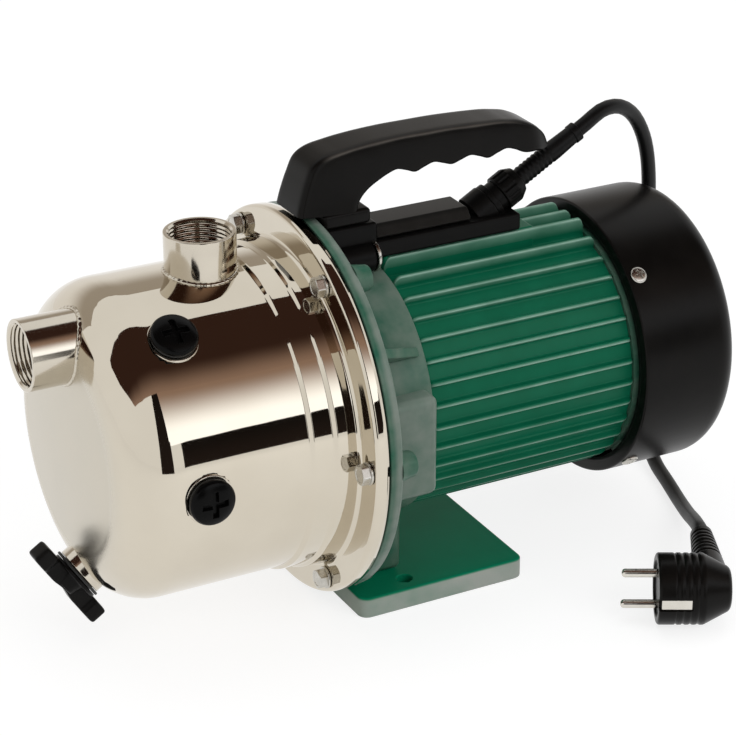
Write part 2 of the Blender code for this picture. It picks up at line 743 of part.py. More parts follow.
def make_side_plug(name, frame):
    """Make one black screw plug with its seal; its head has a cross recess."""
    seal_top = GAP + PLUG_SEAL_HEIGHT
    seal_inner = PLUG_SHANK_RADIUS + 2 * GAP
    seal = ring(seal_inner, seal_inner + PLUG_SEAL_WIDTH, GAP, seal_top)
    turned(f"{name}_plug_seal", seal, frame, "rubber", SMALL_STEPS)
    under = seal_top + GAP
    top = under + PLUG_HEAD_HEIGHT
    crown = [(PLUG_HEAD_RADIUS * out, top - PLUG_HEAD_HEIGHT * down) for out, down in PLUG_CROWN]
    profile = [(0.0, top)] + crown + [
        (PLUG_HEAD_RADIUS, under),
        (PLUG_SHANK_RADIUS, under),
        (PLUG_SHANK_RADIUS, -PLUG_SHANK_LENGTH),
        (0.0, -PLUG_SHANK_LENGTH),
    ]
    plug = turned(f"{name}_plug", profile, frame, "black", SMALL_STEPS)
    long_half = CROSS_LENGTH / 2
    short_half = CROSS_WIDTH / 2
    floor = top - CROSS_DEPTH
    over = top + CROSS_DEPTH
    for number, (half_x, half_y) in enumerate(((long_half, short_half), (short_half, long_half))):
        low = (-half_x, -half_y, floor)
        cut(plug, box(f"cut_{name}_cross_{number + 1}", low, (half_x, half_y, over), frame))


def wing_outline():
    """Give the drain plug's wing seen along its axis: a bar with a round lobe at each end."""
    points = []
    lobe = WING_LOBE / 2
    waist = WING_WAIST / 2
    start = math.degrees(math.asin(waist / lobe))
    centre = WING_LENGTH / 2 - lobe
    for side in (1.0, -1.0):
        for along, across in arc(0.0, 0.0, lobe, start - 180.0, 180.0 - start, LOBE_STEPS):
            points.append((side * (centre + along), side * across))
    return points


def make_drain():
    """Make the drain's welded bush, its gasket and the wing plug."""
    bush_inner = DRAIN_SHANK_RADIUS + GAP
    bush_outer = bush_inner + DRAIN_BUSH_WALL
    bush = ring(bush_inner, bush_outer, -DRAIN_BUSH_INSIDE, DRAIN_BUSH_PROUD)
    turned("drain_bush", bush, DRAIN_FRAME, "stainless", SMALL_STEPS)
    gasket_low = DRAIN_BUSH_PROUD + GAP
    gasket_high = gasket_low + DRAIN_GASKET_HEIGHT
    turned("drain_gasket", ring(bush_inner, bush_outer, gasket_low, gasket_high), DRAIN_FRAME, "rubber",
           SMALL_STEPS)
    under = gasket_high + GAP
    flange_top = under + DRAIN_FLANGE_HEIGHT
    profile = [
        (0.0, flange_top),
        (DRAIN_FLANGE_RADIUS, flange_top),
        (DRAIN_FLANGE_RADIUS, under),
        (DRAIN_SHANK_RADIUS, under),
        (DRAIN_SHANK_RADIUS, under - DRAIN_SHANK_LENGTH),
        (0.0, under - DRAIN_SHANK_LENGTH),
    ]
    plug = turned("drain_plug", profile, DRAIN_FRAME, "black", SMALL_STEPS)
    wing_low = flange_top - DRAIN_FLANGE_HEIGHT / 2
    wing = prism("drain_wing", [wing_outline()], wing_low, flange_top + WING_HEIGHT, DRAIN_FRAME)
    join(plug, wing)


def make_flange_bolts():
    """Make the bolts that clamp the casing's flange to the bracket; their heads face the front."""
    seat = -FLANGE_THICKNESS - GAP
    washer = seat - BOLT_WASHER_HEIGHT
    reach = BRACKET_REAR - GAP
    for number, frame in enumerate(BOLT_FRAMES):
        profile = [
            (0.0, reach), (BOLT_RADIUS, reach), (BOLT_RADIUS, seat), (BOLT_WASHER_RADIUS, seat),
            (BOLT_WASHER_RADIUS, washer), (0.0, washer),
        ]
        bolt = turned(f"flange_bolt_{number + 1}", profile, frame, "zinc", BOLT_STEPS)
        head = rod(BOLT_HEAD_RADIUS, washer - BOLT_HEAD_HEIGHT, washer + BOLT_WASHER_HEIGHT / 2)
        join(bolt, turned(f"bolt_head_{number + 1}", head, frame, steps=HEXAGON))


def make_joint_seal():
    """Make the black gasket ring between the casing's flange and the bracket's flange."""
    inner = SEAL_PLATE_RADIUS + GAP
    outer = FLANGE_RADIUS - CASING_WALL - 2 * GAP
    profile = ring(inner, outer, GAP, JOINT_THICKNESS - GAP)
    seal = turned("casing_gasket", profile, SHAFT_LINE, "rubber", LARGE_STEPS)
    for number, frame in enumerate(BOLT_FRAMES):
        hole = rod(BOLT_RADIUS + GAP, -JOINT_THICKNESS, 2 * JOINT_THICKNESS)
        cut(seal, turned(f"cut_gasket_hole_{number + 1}", hole, frame, steps=HOLE_STEPS))


def make_seal_plate():
    """Make the plate that closes the wet side and holds the seal's fixed seat."""
    pocket = SEAL_SEAT_RADIUS + GAP
    front = JOINT_THICKNESS - GAP - SEAL_PLATE_THICKNESS
    rear = JOINT_THICKNESS - GAP
    floor = SEAL_FACE_X + SEAL_SEAT_LENGTH + GAP
    clear_hole = SHAFT_SEAL_RADIUS + SHAFT_CLEARANCE
    profile = [
        (SEAL_PLATE_RADIUS, rear), (SEAL_PLATE_RADIUS, GAP), (FLANGE_INNER - CASING_WALL, GAP),
        (FLANGE_INNER - CASING_WALL - SEAL_PLATE_THICKNESS, front),
        (pocket + SEAL_POCKET_WALL, front), (pocket + SEAL_POCKET_WALL, SEAL_FACE_X),
        (pocket, SEAL_FACE_X), (pocket, floor), (clear_hole, floor), (clear_hole, rear),
    ]
    turned("seal_plate", profile, SHAFT_LINE, "steel", LARGE_STEPS)


def make_shaft_seal():
    """Make the seal's turning half and its fixed seat, face to face on the shaft."""
    rotating = ring(SHAFT_SEAL_RADIUS + GAP, SEAL_ROTATING_RADIUS, SEAL_SEAT_START, SEAL_FACE_X - GAP)
    turned("seal_rotating", rotating, SHAFT_LINE, "rubber", SMALL_STEPS)
    inner = SHAFT_SEAL_RADIUS + SHAFT_CLEARANCE
    seat = ring(inner, SEAL_SEAT_RADIUS, SEAL_FACE_X, SEAL_FACE_X + SEAL_SEAT_LENGTH)
    turned("seal_seat", seat, SHAFT_LINE, "white", SMALL_STEPS)


def make_impeller():
    """Make the closed impeller: back plate with hub, blades and front shroud, as one body."""
    bore = SHAFT_IMPELLER_RADIUS + GAP
    hub = bore + IMPELLER_HUB_WALL
    plate_front = IMPELLER_BACK - IMPELLER_PLATE
    shroud_back = plate_front - IMPELLER_PASSAGE
    shroud_front = shroud_back - IMPELLER_PLATE
    back = [
        (IMPELLER_RADIUS, IMPELLER_BACK), (IMPELLER_RADIUS, plate_front), (hub, plate_front),
        (hub, IMPELLER_SEAT), (bore, IMPELLER_SEAT), (bore, IMPELLER_BACK),
    ]
    impeller = turned("impeller", back, SHAFT_LINE, "brass", MIDDLE_STEPS)
    half = BLADE_THICKNESS / 2
    bite = IMPELLER_PLATE / 3
    low = (IMPELLER_EYE, -half, shroud_back - bite)
    reach = blade_reach(IMPELLER_EYE, IMPELLER_RADIUS * BLADE_END_SHARE, BLADE_LEAN)
    high = (IMPELLER_EYE + reach, half, plate_front + bite)
    blades = box_ring("impeller_blades", low, high, BLADE_COUNT, SHAFT_LINE, lean=BLADE_LEAN)
    shroud = ring(IMPELLER_EYE, IMPELLER_RADIUS, shroud_front, shroud_back)
    join(impeller, blades, turned("impeller_shroud", shroud, SHAFT_LINE, steps=MIDDLE_STEPS))


def blade_reach(inner, outer, lean):
    """Give the length of a straight blade that leans at its inner end and ends at an outer radius."""
    side = inner * math.sin(math.radians(lean))
    return math.sqrt(outer * outer - side * side) - inner * math.cos(math.radians(lean))


def make_impeller_nut():
    """Make the hexagon nut on the shaft's front end."""
    rear = IMPELLER_SEAT - GAP
    nut = turned("impeller_nut", rod(NUT_RADIUS, rear - NUT_HEIGHT, rear), SHAFT_LINE, "brass", HEXAGON)
    hole = rod(SHAFT_NUT_RADIUS + GAP, rear - 2 * NUT_HEIGHT, rear + NUT_HEIGHT)
    cut(nut, turned("cut_nut_hole", hole, SHAFT_LINE, steps=SMALL_STEPS))


def diffuser_front():
    """Give the place of the diffuser plate's front face."""
    shroud_front = IMPELLER_BACK - 2 * IMPELLER_PLATE - IMPELLER_PASSAGE
    return shroud_front - DIFFUSER_RUNNING_GAP - DIFFUSER_WALL


def make_diffuser():
    """Make the cup round the impeller, with an inlet hub and slots that let the water out."""
    front = diffuser_front()
    bore = VENTURI_RADIUS + GAP
    wall_inner = IMPELLER_RADIUS + DIFFUSER_RUNNING_GAP
    wall_outer = wall_inner + DIFFUSER_WALL
    rear = JOINT_THICKNESS - 2 * GAP - SEAL_PLATE_THICKNESS
    profile = [
        (wall_outer, rear), (wall_outer, front), (bore + DIFFUSER_WALL, front),
        (bore + DIFFUSER_WALL, front - DIFFUSER_HUB_LENGTH + DIFFUSER_WALL),
        (bore, front - DIFFUSER_HUB_LENGTH + DIFFUSER_WALL),
        (bore, front + DIFFUSER_WALL), (wall_inner, front + DIFFUSER_WALL), (wall_inner, rear),
    ]
    diffuser = turned("diffuser", profile, SHAFT_LINE, "grey", LARGE_STEPS)
    half = DIFFUSER_SLOT_WIDTH / 2
    low = (wall_inner - DIFFUSER_WALL, -half, IMPELLER_BACK + IMPELLER_PLATE)
    high = (wall_outer + DIFFUSER_WALL, half, rear - DIFFUSER_WALL)
    cut(diffuser, box_ring("cut_diffuser_slots", low, high, DIFFUSER_SLOTS, SHAFT_LINE))


def make_ejector():
    """Make the ejector: an inlet spigot in the suction socket, a riser and the venturi, with its nozzle."""
    spigot = PORT_BORE - GAP
    spigot_start = SPIGOT_SETBACK - CASING_LENGTH
    venturi_end = diffuser_front() + DIFFUSER_WALL - DIFFUSER_HUB_LENGTH + VENTURI_ENTRY
    riser_top = SUCTION_HEIGHT + RISER_ABOVE
    riser_frame = new_frame("riser_frame", (RISER_X, 0.0, 0.0), PUMP, (0.0, 0.0, 1.0))
    inlet_frame = new_frame("inlet_frame", (0.0, 0.0, SUCTION_HEIGHT), PUMP, (1.0, 0.0, 0.0))
    body = turned("ejector_body", rod(RISER_RADIUS, -RISER_BELOW, riser_top), riser_frame, "grey")
    venturi = turned("venturi", rod(VENTURI_RADIUS, RISER_X, venturi_end), SHAFT_LINE)
    inlet = turned("inlet_spigot", rod(spigot, spigot_start, RISER_X), inlet_frame)
    join(body, venturi, inlet)
    wall = RISER_RADIUS - RISER_BORE
    bore = rod(RISER_BORE, wall - RISER_BELOW, riser_top - wall)
    venturi_bore = rod(VENTURI_BORE, RISER_X, venturi_end + VENTURI_ENTRY)
    inlet_bore = rod(spigot - wall, spigot_start - VENTURI_ENTRY, RISER_X)
    nozzle_hole = rod(NOZZLE_RADIUS + GAP, RISER_X - 2 * RISER_RADIUS, RISER_X)
    cut(body, turned("cut_riser", bore, riser_frame),
        turned("cut_venturi", venturi_bore, SHAFT_LINE, steps=SMALL_STEPS),
        turned("cut_inlet", inlet_bore, inlet_frame),
        turned("cut_nozzle_hole", nozzle_hole, SHAFT_LINE, steps=SMALL_STEPS))
    start = RISER_X - RISER_RADIUS - NOZZLE_PROUD
    end = start + NOZZLE_LENGTH
    profile = [
        (NOZZLE_TIP_RADIUS, end), (NOZZLE_RADIUS, end - NOZZLE_LENGTH / 2), (NOZZLE_RADIUS, start),
        (NOZZLE_RADIUS - NOZZLE_WALL, start), (NOZZLE_BORE, end - NOZZLE_LENGTH / 3), (NOZZLE_BORE, end),
    ]
    turned("ejector_nozzle", profile, SHAFT_LINE, "brass", SMALL_STEPS)


def make_shaft():
    """Make the stepped shaft that carries impeller, seal, bearings, rotor and fan."""
    shoulder = FRONT_BEARING_X + FRONT_BEARING_WIDTH + GAP
    rear_seat = REAR_BEARING_X - GAP
    fan_seat = SHIELD_END + FAN_SEAT_OFFSET
    steps = (
        (SHAFT_FAN_RADIUS, SHAFT_END, fan_seat),
        (SHAFT_REAR_RADIUS, fan_seat, rear_seat),
        (SHAFT_ROTOR_RADIUS, rear_seat, shoulder),
        (SHAFT_FRONT_RADIUS, shoulder, FRONT_BEARING_X - GAP),
        (SHAFT_SEAL_RADIUS, FRONT_BEARING_X - GAP, SEAL_SEAT_START - GAP),
        (SHAFT_IMPELLER_RADIUS, SEAL_SEAT_START - GAP, IMPELLER_SEAT),
        (SHAFT_NUT_RADIUS, IMPELLER_SEAT, SHAFT_START),
    )
    profile = [(0.0, SHAFT_END)]
    for radius, high, low in steps:
        profile += [(radius, high), (radius, low)]
    profile.append((0.0, SHAFT_START))
    turned("shaft", profile, SHAFT_LINE, "steel", SMALL_STEPS)


def make_bearing(name, x, width, radius, shaft_radius):
    """Make a shielded ball bearing as its two rings; the outer ring carries the shields."""
    inner = shaft_radius + GAP
    split = inner + BEARING_INNER_WALL
    turned(f"{name}_bearing_inner", ring(inner, split, x, x + width), SHAFT_LINE, "steel", SMALL_STEPS)
    outer = ring(split + GAP, radius, x, x + width)
    turned(f"{name}_bearing_outer", outer, SHAFT_LINE, "steel", SMALL_STEPS)


def make_bracket():
    """Make the cast bracket: flange, bearing hub, neck, spigot for the housing and pedestal."""
    neck_inner = BRACKET_NECK_RADIUS - BRACKET_NECK_WALL
    spigot = HOUSING_BORE - 2 * GAP
    spigot_inner = spigot - BRACKET_SPIGOT_WALL
    spigot_end = BRACKET_NECK_END + BRACKET_SPIGOT
    pocket = FRONT_BEARING_RADIUS + GAP
    hub = pocket + BRACKET_HUB_WALL
    pocket_floor = FRONT_BEARING_X - GAP
    stop_hole = SHAFT_FRONT_RADIUS + 2 * SHAFT_CLEARANCE
    sling_hole = SLINGER_RADIUS + 4 * SHAFT_CLEARANCE
    profile = [
        (spigot, spigot_end), (spigot, BRACKET_NECK_END), (BRACKET_NECK_RADIUS, BRACKET_NECK_END),
        (BRACKET_NECK_RADIUS, BRACKET_REAR), (BRACKET_FLANGE_RADIUS, BRACKET_REAR),
        (BRACKET_FLANGE_RADIUS, JOINT_THICKNESS), (sling_hole, JOINT_THICKNESS),
        (sling_hole, pocket_floor - BRACKET_STOP), (stop_hole, pocket_floor - BRACKET_STOP),
        (stop_hole, pocket_floor), (pocket, pocket_floor),
        (pocket, pocket_floor + FRONT_BEARING_WIDTH + BRACKET_STOP),
        (hub, pocket_floor + FRONT_BEARING_WIDTH + BRACKET_STOP), (hub, BRACKET_REAR),
        (neck_inner, BRACKET_REAR), (neck_inner, BRACKET_NECK_END - BRACKET_SPIGOT),
        (spigot_inner, BRACKET_NECK_END - BRACKET_SPIGOT), (spigot_inner, spigot_end),
    ]
    bracket = turned("motor_bracket", profile, SHAFT_LINE, "green", LARGE_STEPS)
    join(bracket, prism("pedestal", [pedestal_outline()], BRACKET_REAR - BRACKET_FLANGE_THICKNESS / 2,
                        BRACKET_NECK_END, SHAFT_LINE))
    for number, frame in enumerate(BOLT_FRAMES):
        hole = rod(BOLT_RADIUS + GAP, 0.0, BRACKET_REAR * 2)
        cut(bracket, turned(f"cut_bracket_hole_{number + 1}", hole, frame, steps=HOLE_STEPS))
    for number, frame in enumerate(foot_screw_frames("bracket")):
        hole = rod(FOOT_SCREW_RADIUS + GAP, FOOT_THICKNESS / 2, FOOT_THICKNESS + FOOT_SCREW_REACH + GAP)
        cut(bracket, turned(f"cut_pedestal_hole_{number + 1}", hole, frame, steps=HOLE_STEPS))


def pedestal_outline():
    """Give the pedestal's outline across the shaft: straight sides up to the middle of the neck's wall."""
    middle = BRACKET_NECK_RADIUS - BRACKET_NECK_WALL / 2
    spread = math.degrees(math.asin(PEDESTAL_HALF_WIDTH / middle))
    foot_seat = FOOT_TOP + GAP
    top = arc(0.0, 0.0, middle, spread - 90.0, -spread - 90.0, 2 * ARC_STEPS)
    return [(-PEDESTAL_HALF_WIDTH, foot_seat), (PEDESTAL_HALF_WIDTH, foot_seat)] + top


def foot_screw_frames(user):
    """Make a frame on the floor under each foot screw."""
    return [
        new_frame(f"{user}_screw_frame_{number + 1}", (FOOT_SCREW_X, side * FOOT_SCREW_Y, -SHAFT_HEIGHT),
                  PUMP, (0.0, 0.0, 1.0))
        for number, side in enumerate((-1.0, 1.0))
    ]


def rounded_rectangle(length, width, corner):
    """Give a rectangle's outline with round corners, about the origin."""
    points = []
    for number, (side_x, side_y) in enumerate(((1, 1), (-1, 1), (-1, -1), (1, -1))):
        centre_x = side_x * (length / 2 - corner)
        centre_y = side_y * (width / 2 - corner)
        points += arc(centre_x, centre_y, corner, 90.0 * number, 90.0 * number + 90.0, EDGE_STEPS)
    return points


def circle(x, y, radius, steps):
    """Give a circle's outline."""
    return [(x + along, y + across) for along, across in arc(0.0, 0.0, radius, 0.0, 360.0, steps)[:-1]]


def make_foot():
    """Make the foot plate with its two mounting holes, and the screws that hold it to the pedestal."""
    outline = rounded_rectangle(FOOT_LENGTH, FOOT_WIDTH, FOOT_CORNER)
    hole_y = FOOT_WIDTH / 2 - FOOT_HOLE_INSET
    hole_x = FOOT_HOLE_X - FOOT_CENTRE_X
    holes = [circle(hole_x, side * hole_y, FOOT_HOLE_RADIUS, SMALL_STEPS) for side in (-1.0, 1.0)]
    floor = new_frame("floor_frame", (FOOT_CENTRE_X, 0.0, -SHAFT_HEIGHT), PUMP)
    plate = prism("foot_plate", [outline] + holes, 0.0, FOOT_THICKNESS, floor, "green")
    head_low = FOOT_SCREW_SINK
    head_high = head_low + FOOT_SCREW_HEAD_HEIGHT
    for number, frame in enumerate(foot_screw_frames("foot")):
        recess = [
            (0.0, FOOT_THICKNESS * 2), (FOOT_SCREW_RADIUS + GAP, FOOT_THICKNESS * 2),
            (FOOT_SCREW_RADIUS + GAP, head_high + GAP), (FOOT_SCREW_HEAD_RADIUS + GAP, head_high + GAP),
            (FOOT_SCREW_HEAD_RADIUS + GAP, -FOOT_THICKNESS), (0.0, -FOOT_THICKNESS),
        ]
        cut(plate, turned(f"cut_foot_recess_{number + 1}", recess, frame, steps=HOLE_STEPS))
        end = FOOT_THICKNESS + FOOT_SCREW_REACH
        profile = [
            (0.0, end), (FOOT_SCREW_RADIUS, end), (FOOT_SCREW_RADIUS, head_high),
            (FOOT_SCREW_HEAD_RADIUS, head_high), (FOOT_SCREW_HEAD_RADIUS, head_low), (0.0, head_low),
        ]
        turned(f"foot_screw_{number + 1}", profile, frame, "zinc", HOLE_STEPS)


def fin_outline():
    """Give the housing's outline: equal fins round the root circle, each with a narrow flat tip."""
    points = []
    for number in range(FIN_COUNT):
        middle = 2.0 * math.pi * number / FIN_COUNT
        for radius, offset in ((FIN_BASE_RADIUS, -FIN_ROOT), (FIN_RADIUS, -FIN_TIP),
                               (FIN_RADIUS, FIN_TIP), (FIN_BASE_RADIUS, FIN_ROOT)):
            angle = middle + offset / 2 / radius
            points.append((radius * math.cos(angle), radius * math.sin(angle)))
    return points


def make_housing():
    """Make the finned housing with the platform for the terminal box and its wire hole."""
    bore = circle(0.0, 0.0, HOUSING_BORE, LARGE_STEPS)
    housing = prism("stator_housing", [fin_outline()], HOUSING_START, HOUSING_END, SHAFT_LINE, "green")
    low = (HOUSING_START, -PLATFORM_HALF_WIDTH, FIN_BASE_RADIUS * PLATFORM_ROOT_SHARE)
    high = (PLATFORM_END, PLATFORM_HALF_WIDTH, PLATFORM_TOP)
    join(housing, box("platform", low, high, PUMP))
    length = HOUSING_END - HOUSING_START
    cut(housing, prism("cut_housing_bore", [bore], HOUSING_START - length, HOUSING_END + length, SHAFT_LINE))
    hole_frame = new_frame("wire_frame", (WIRE_HOLE_X, 0.0, 0.0), PUMP, (0.0, 0.0, 1.0))
    hole = rod(WIRE_HOLE_RADIUS, HOUSING_BORE / 2, 2 * PLATFORM_TOP)
    cut(housing, turned("cut_wire_hole", hole, hole_frame, steps=HOLE_STEPS))


def make_stator_and_rotor():
    """Make the stator core, its winding heads and the rotor core on the shaft."""
    bore = ROTOR_RADIUS + ROTOR_AIR_GAP
    core = ring(bore, STATOR_RADIUS, STATOR_START, STATOR_END)
    turned("stator_core", core, SHAFT_LINE, "steel", LARGE_STEPS)
    front = ring(WINDING_INNER, WINDING_OUTER, STATOR_START - GAP - WINDING_LENGTH, STATOR_START - GAP)
    turned("winding_front", front, SHAFT_LINE, "copper")
    rear = ring(WINDING_INNER, WINDING_OUTER, STATOR_END + GAP, STATOR_END + GAP + WINDING_LENGTH)
    turned("winding_rear", rear, SHAFT_LINE, "copper")
    rotor = ring(SHAFT_ROTOR_RADIUS + GAP, ROTOR_RADIUS, STATOR_START, STATOR_END)
    turned("rotor_core", rotor, SHAFT_LINE, "steel")


def make_rear_shield():
    """Make the rear end shield with its bearing hub and the four lugs that carry the fan cover."""
    spigot = HOUSING_BORE - 2 * GAP
    spigot_start = SHIELD_START - SHIELD_SPIGOT
    pocket = REAR_BEARING_RADIUS + GAP
    hub_start = REAR_BEARING_X - GAP
    floor = REAR_BEARING_X + REAR_BEARING_WIDTH + GAP
    shaft_hole = SHAFT_REAR_RADIUS + SHAFT_CLEARANCE
    profile = [
        (SHIELD_RADIUS, SHIELD_END), (SHIELD_RADIUS, SHIELD_START), (spigot, SHIELD_START),
        (spigot, spigot_start), (spigot - SHIELD_SPIGOT_WALL, spigot_start),
        (spigot - SHIELD_SPIGOT_WALL, SHIELD_START), (pocket + SHIELD_HUB_WALL, SHIELD_START),
        (pocket + SHIELD_HUB_WALL, hub_start), (pocket, hub_start), (pocket, floor),
        (shaft_hole, floor), (shaft_hole, SHIELD_END),
    ]
    shield = turned("rear_end_shield", profile, SHAFT_LINE, "green", LARGE_STEPS)
    lug_start = COVER_START + COVER_WALL + GAP
    lug_radius = COVER_RADIUS - COVER_WALL - GAP
    half = LUG_WIDTH / 2
    low = (SHIELD_RADIUS * LUG_ROOT_SHARE, -half, lug_start)
    high = (math.sqrt(lug_radius * lug_radius - half * half), half, lug_start + LUG_LENGTH)
    lugs = box_ring("shield_lugs", low, high, COVER_SCREWS, SHAFT_LINE, start=180.0 / COVER_SCREWS)
    join(shield, lugs)
    for number, frame in enumerate(cover_screw_frames("lug")):
        hole = rod(COVER_SCREW_RADIUS + GAP, -COVER_SCREW_REACH - GAP, COVER_WALL)
        cut(shield, turned(f"cut_lug_hole_{number + 1}", hole, frame, steps=HOLE_STEPS))


def cover_screw_frames(user):
    """Make a frame on the fan cover's outside for each of its screws, facing out."""
    return [
        around_shaft(f"{user}_screw_frame_{number + 1}", COVER_SCREW_X, COVER_RADIUS,
                     360.0 / COVER_SCREWS * (number + 0.5), False)
        for number in range(COVER_SCREWS)
    ]


def make_fan():
    """Make the cooling fan: a hub with a disc and straight blades."""
    bore = SHAFT_FAN_RADIUS + GAP
    hub = bore + FAN_HUB_WALL
    end = FAN_START + FAN_LENGTH
    disc_end = FAN_START + FAN_DISC
    disc = FAN_RADIUS * FAN_DISC_SHARE
    profile = [
        (disc, disc_end), (disc, FAN_START), (bore, FAN_START), (bore, end), (hub, end), (hub, disc_end),
    ]
    fan = turned("cooling_fan", profile, SHAFT_LINE, "black", MIDDLE_STEPS)
    half = FAN_BLADE_THICKNESS / 2
    low = (hub - FAN_BLADE_THICKNESS, -half, disc_end - FAN_DISC / 2)
    high = (FAN_RADIUS, half, end - FAN_BLADE_THICKNESS)
    join(fan, box_ring("fan_blades", low, high, FAN_BLADES, SHAFT_LINE))


def make_fan_cover():
    """Make the fan cover: a cup with an inward lip at its front, screw holes and a slotted rear grille."""
    inner = COVER_RADIUS - COVER_WALL
    lip = COVER_RADIUS - COVER_LIP
    outer_corner = arc(COVER_RADIUS - COVER_CORNER, COVER_END - COVER_CORNER, COVER_CORNER, 90.0, 0.0,
                       EDGE_STEPS)
    inner_size = COVER_CORNER - COVER_WALL
    inner_corner = arc(COVER_RADIUS - COVER_CORNER, COVER_END - COVER_CORNER, inner_size, 0.0, 90.0,
                       EDGE_STEPS)
    profile = [(0.0, COVER_END)] + outer_corner + [
        (COVER_RADIUS, COVER_START), (lip, COVER_START), (lip, COVER_START + COVER_WALL),
        (inner, COVER_START + COVER_WALL),
    ] + inner_corner + [(0.0, COVER_END - COVER_WALL)]
    cover = turned("fan_cover", profile, SHAFT_LINE, "black", LARGE_STEPS)
    half = GRILLE_SLOT / 2
    for number, (start, end, count) in enumerate(GRILLE_RINGS):
        low = (start, -half, COVER_END - 3 * COVER_WALL)
        high = (end, half, COVER_END + 3 * COVER_WALL)
        cut(cover, box_ring(f"cut_grille_{number + 1}", low, high, count, SHAFT_LINE))
    for number, frame in enumerate(cover_screw_frames("cover")):
        hole = rod(COVER_SCREW_RADIUS + GAP, -3 * COVER_WALL, COVER_WALL)
        cut(cover, turned(f"cut_cover_hole_{number + 1}", hole, frame, steps=HOLE_STEPS))
        profile = [
            (0.0, COVER_SCREW_HEAD_HEIGHT + GAP),
            (COVER_SCREW_HEAD_RADIUS * COVER_SCREW_CROWN_SHARE, COVER_SCREW_HEAD_HEIGHT + GAP),
            (COVER_SCREW_HEAD_RADIUS, COVER_SCREW_HEAD_HEIGHT * COVER_SCREW_EDGE_SHARE),
            (COVER_SCREW_HEAD_RADIUS, GAP),
            (COVER_SCREW_RADIUS, GAP), (COVER_SCREW_RADIUS, -COVER_SCREW_REACH),
            (0.0, -COVER_SCREW_REACH),
        ]
        turned(f"fan_cover_screw_{number + 1}", profile, frame, "zinc", HOLE_STEPS)


GLAND_DIRECTION = (math.cos(math.radians(GLAND_TILT)), 0.0, math.sin(math.radians(GLAND_TILT)))
GLAND_FRAME = new_frame("gland_frame", (GLAND_X, 0.0, BOX_TOP + GLAND_RISE), PUMP, GLAND_DIRECTION)


def make_terminal_box():
    """Make the terminal box on the platform, with the pillar under the handle and the gland's boss."""
    side = BOX_HALF_WIDTH
    base = box("terminal_box", (PILLAR_END - BOX_FLOOR, -side, BOX_BOTTOM), (BOX_END, side, BOX_TOP), PUMP,
               "black")
    pillar_low = (BRACKET_REAR + PILLAR_SETBACK, -side, BRACKET_NECK_RADIUS + GAP)
    pillar = box("box_pillar", pillar_low, (PILLAR_END, side, HANDLE_SEAT - GAP), PUMP)
    bulge_frame = new_frame("bulge_frame", (0.0, 0.0, BRACKET_NECK_RADIUS + BULGE_RADIUS + 2 * GAP), PUMP,
                            (1.0, 0.0, 0.0))
    bulges = [turned(f"box_bulge_{number + 1}", rod(BULGE_RADIUS, BULGE_START, BULGE_END), bulge_frame,
                     steps=HOLE_STEPS) for number in range(2)]
    for bulge, way in zip(bulges, (1.0, -1.0)):
        bulge.location = (way * (side - GAP), 0.0, 0.0)
    boss_profile = rod(GLAND_BOSS_RADIUS, -GLAND_BOSS_LENGTH, GLAND_BODY_LENGTH)
    boss = turned("gland_boss", boss_profile, GLAND_FRAME, steps=SMALL_STEPS)
    join(base, pillar, boss, *bulges)
    below = box("cut_below_box", (PILLAR_END + GAP, -2 * side, 0.0), (2 * BOX_END, 2 * side, BOX_BOTTOM),
                PUMP)
    inside = LID_TOP_HALF_WIDTH + LID_WALL
    cavity = box("cut_box_cavity", (LID_START + 2 * LID_WALL, -inside, BOX_BOTTOM + BOX_FLOOR),
                 (LID_END - LID_WALL, inside, 2 * BOX_TOP), PUMP)
    hole_frame = new_frame("box_wire_frame", (WIRE_HOLE_X, 0.0, 0.0), PUMP, (0.0, 0.0, 1.0))
    hole = rod(WIRE_HOLE_RADIUS, PLATFORM_TOP / 2, BOX_TOP)
    beyond = 2 * side
    slope = box("cut_gland_slope", (-beyond, -beyond, -GAP), (beyond, beyond, 2 * beyond), GLAND_FRAME)
    cut(base, below, slope, cavity, turned("cut_box_wire", hole, hole_frame, steps=HOLE_STEPS))
    return base


def make_lid():
    """Make the box's lid: a long cap with sloping sides, hollow underneath, and the capacitor it covers."""
    low = BOX_TOP + GAP
    top = low + LID_HEIGHT
    outline = [
        (-LID_BASE_HALF_WIDTH, low), (LID_BASE_HALF_WIDTH, low), (LID_BASE_HALF_WIDTH, low + LID_EDGE),
        (LID_TOP_HALF_WIDTH, top), (-LID_TOP_HALF_WIDTH, top), (-LID_BASE_HALF_WIDTH, low + LID_EDGE),
    ]
    lid = prism("terminal_box_lid", [outline], LID_START, LID_END, SHAFT_LINE, "grey")
    inside = LID_TOP_HALF_WIDTH + LID_WALL / 2
    cut(lid, box("cut_lid_hollow", (LID_START + LID_WALL, -inside, low - LID_WALL),
                 (LID_END - LID_WALL, inside, top - LID_WALL), PUMP))
    floor = BOX_BOTTOM + BOX_FLOOR + GAP
    box("capacitor", (CAPACITOR_START, -CAPACITOR_HALF_WIDTH, floor),
        (CAPACITOR_START + CAPACITOR_LENGTH, CAPACITOR_HALF_WIDTH, floor + CAPACITOR_HEIGHT), PUMP, "white")


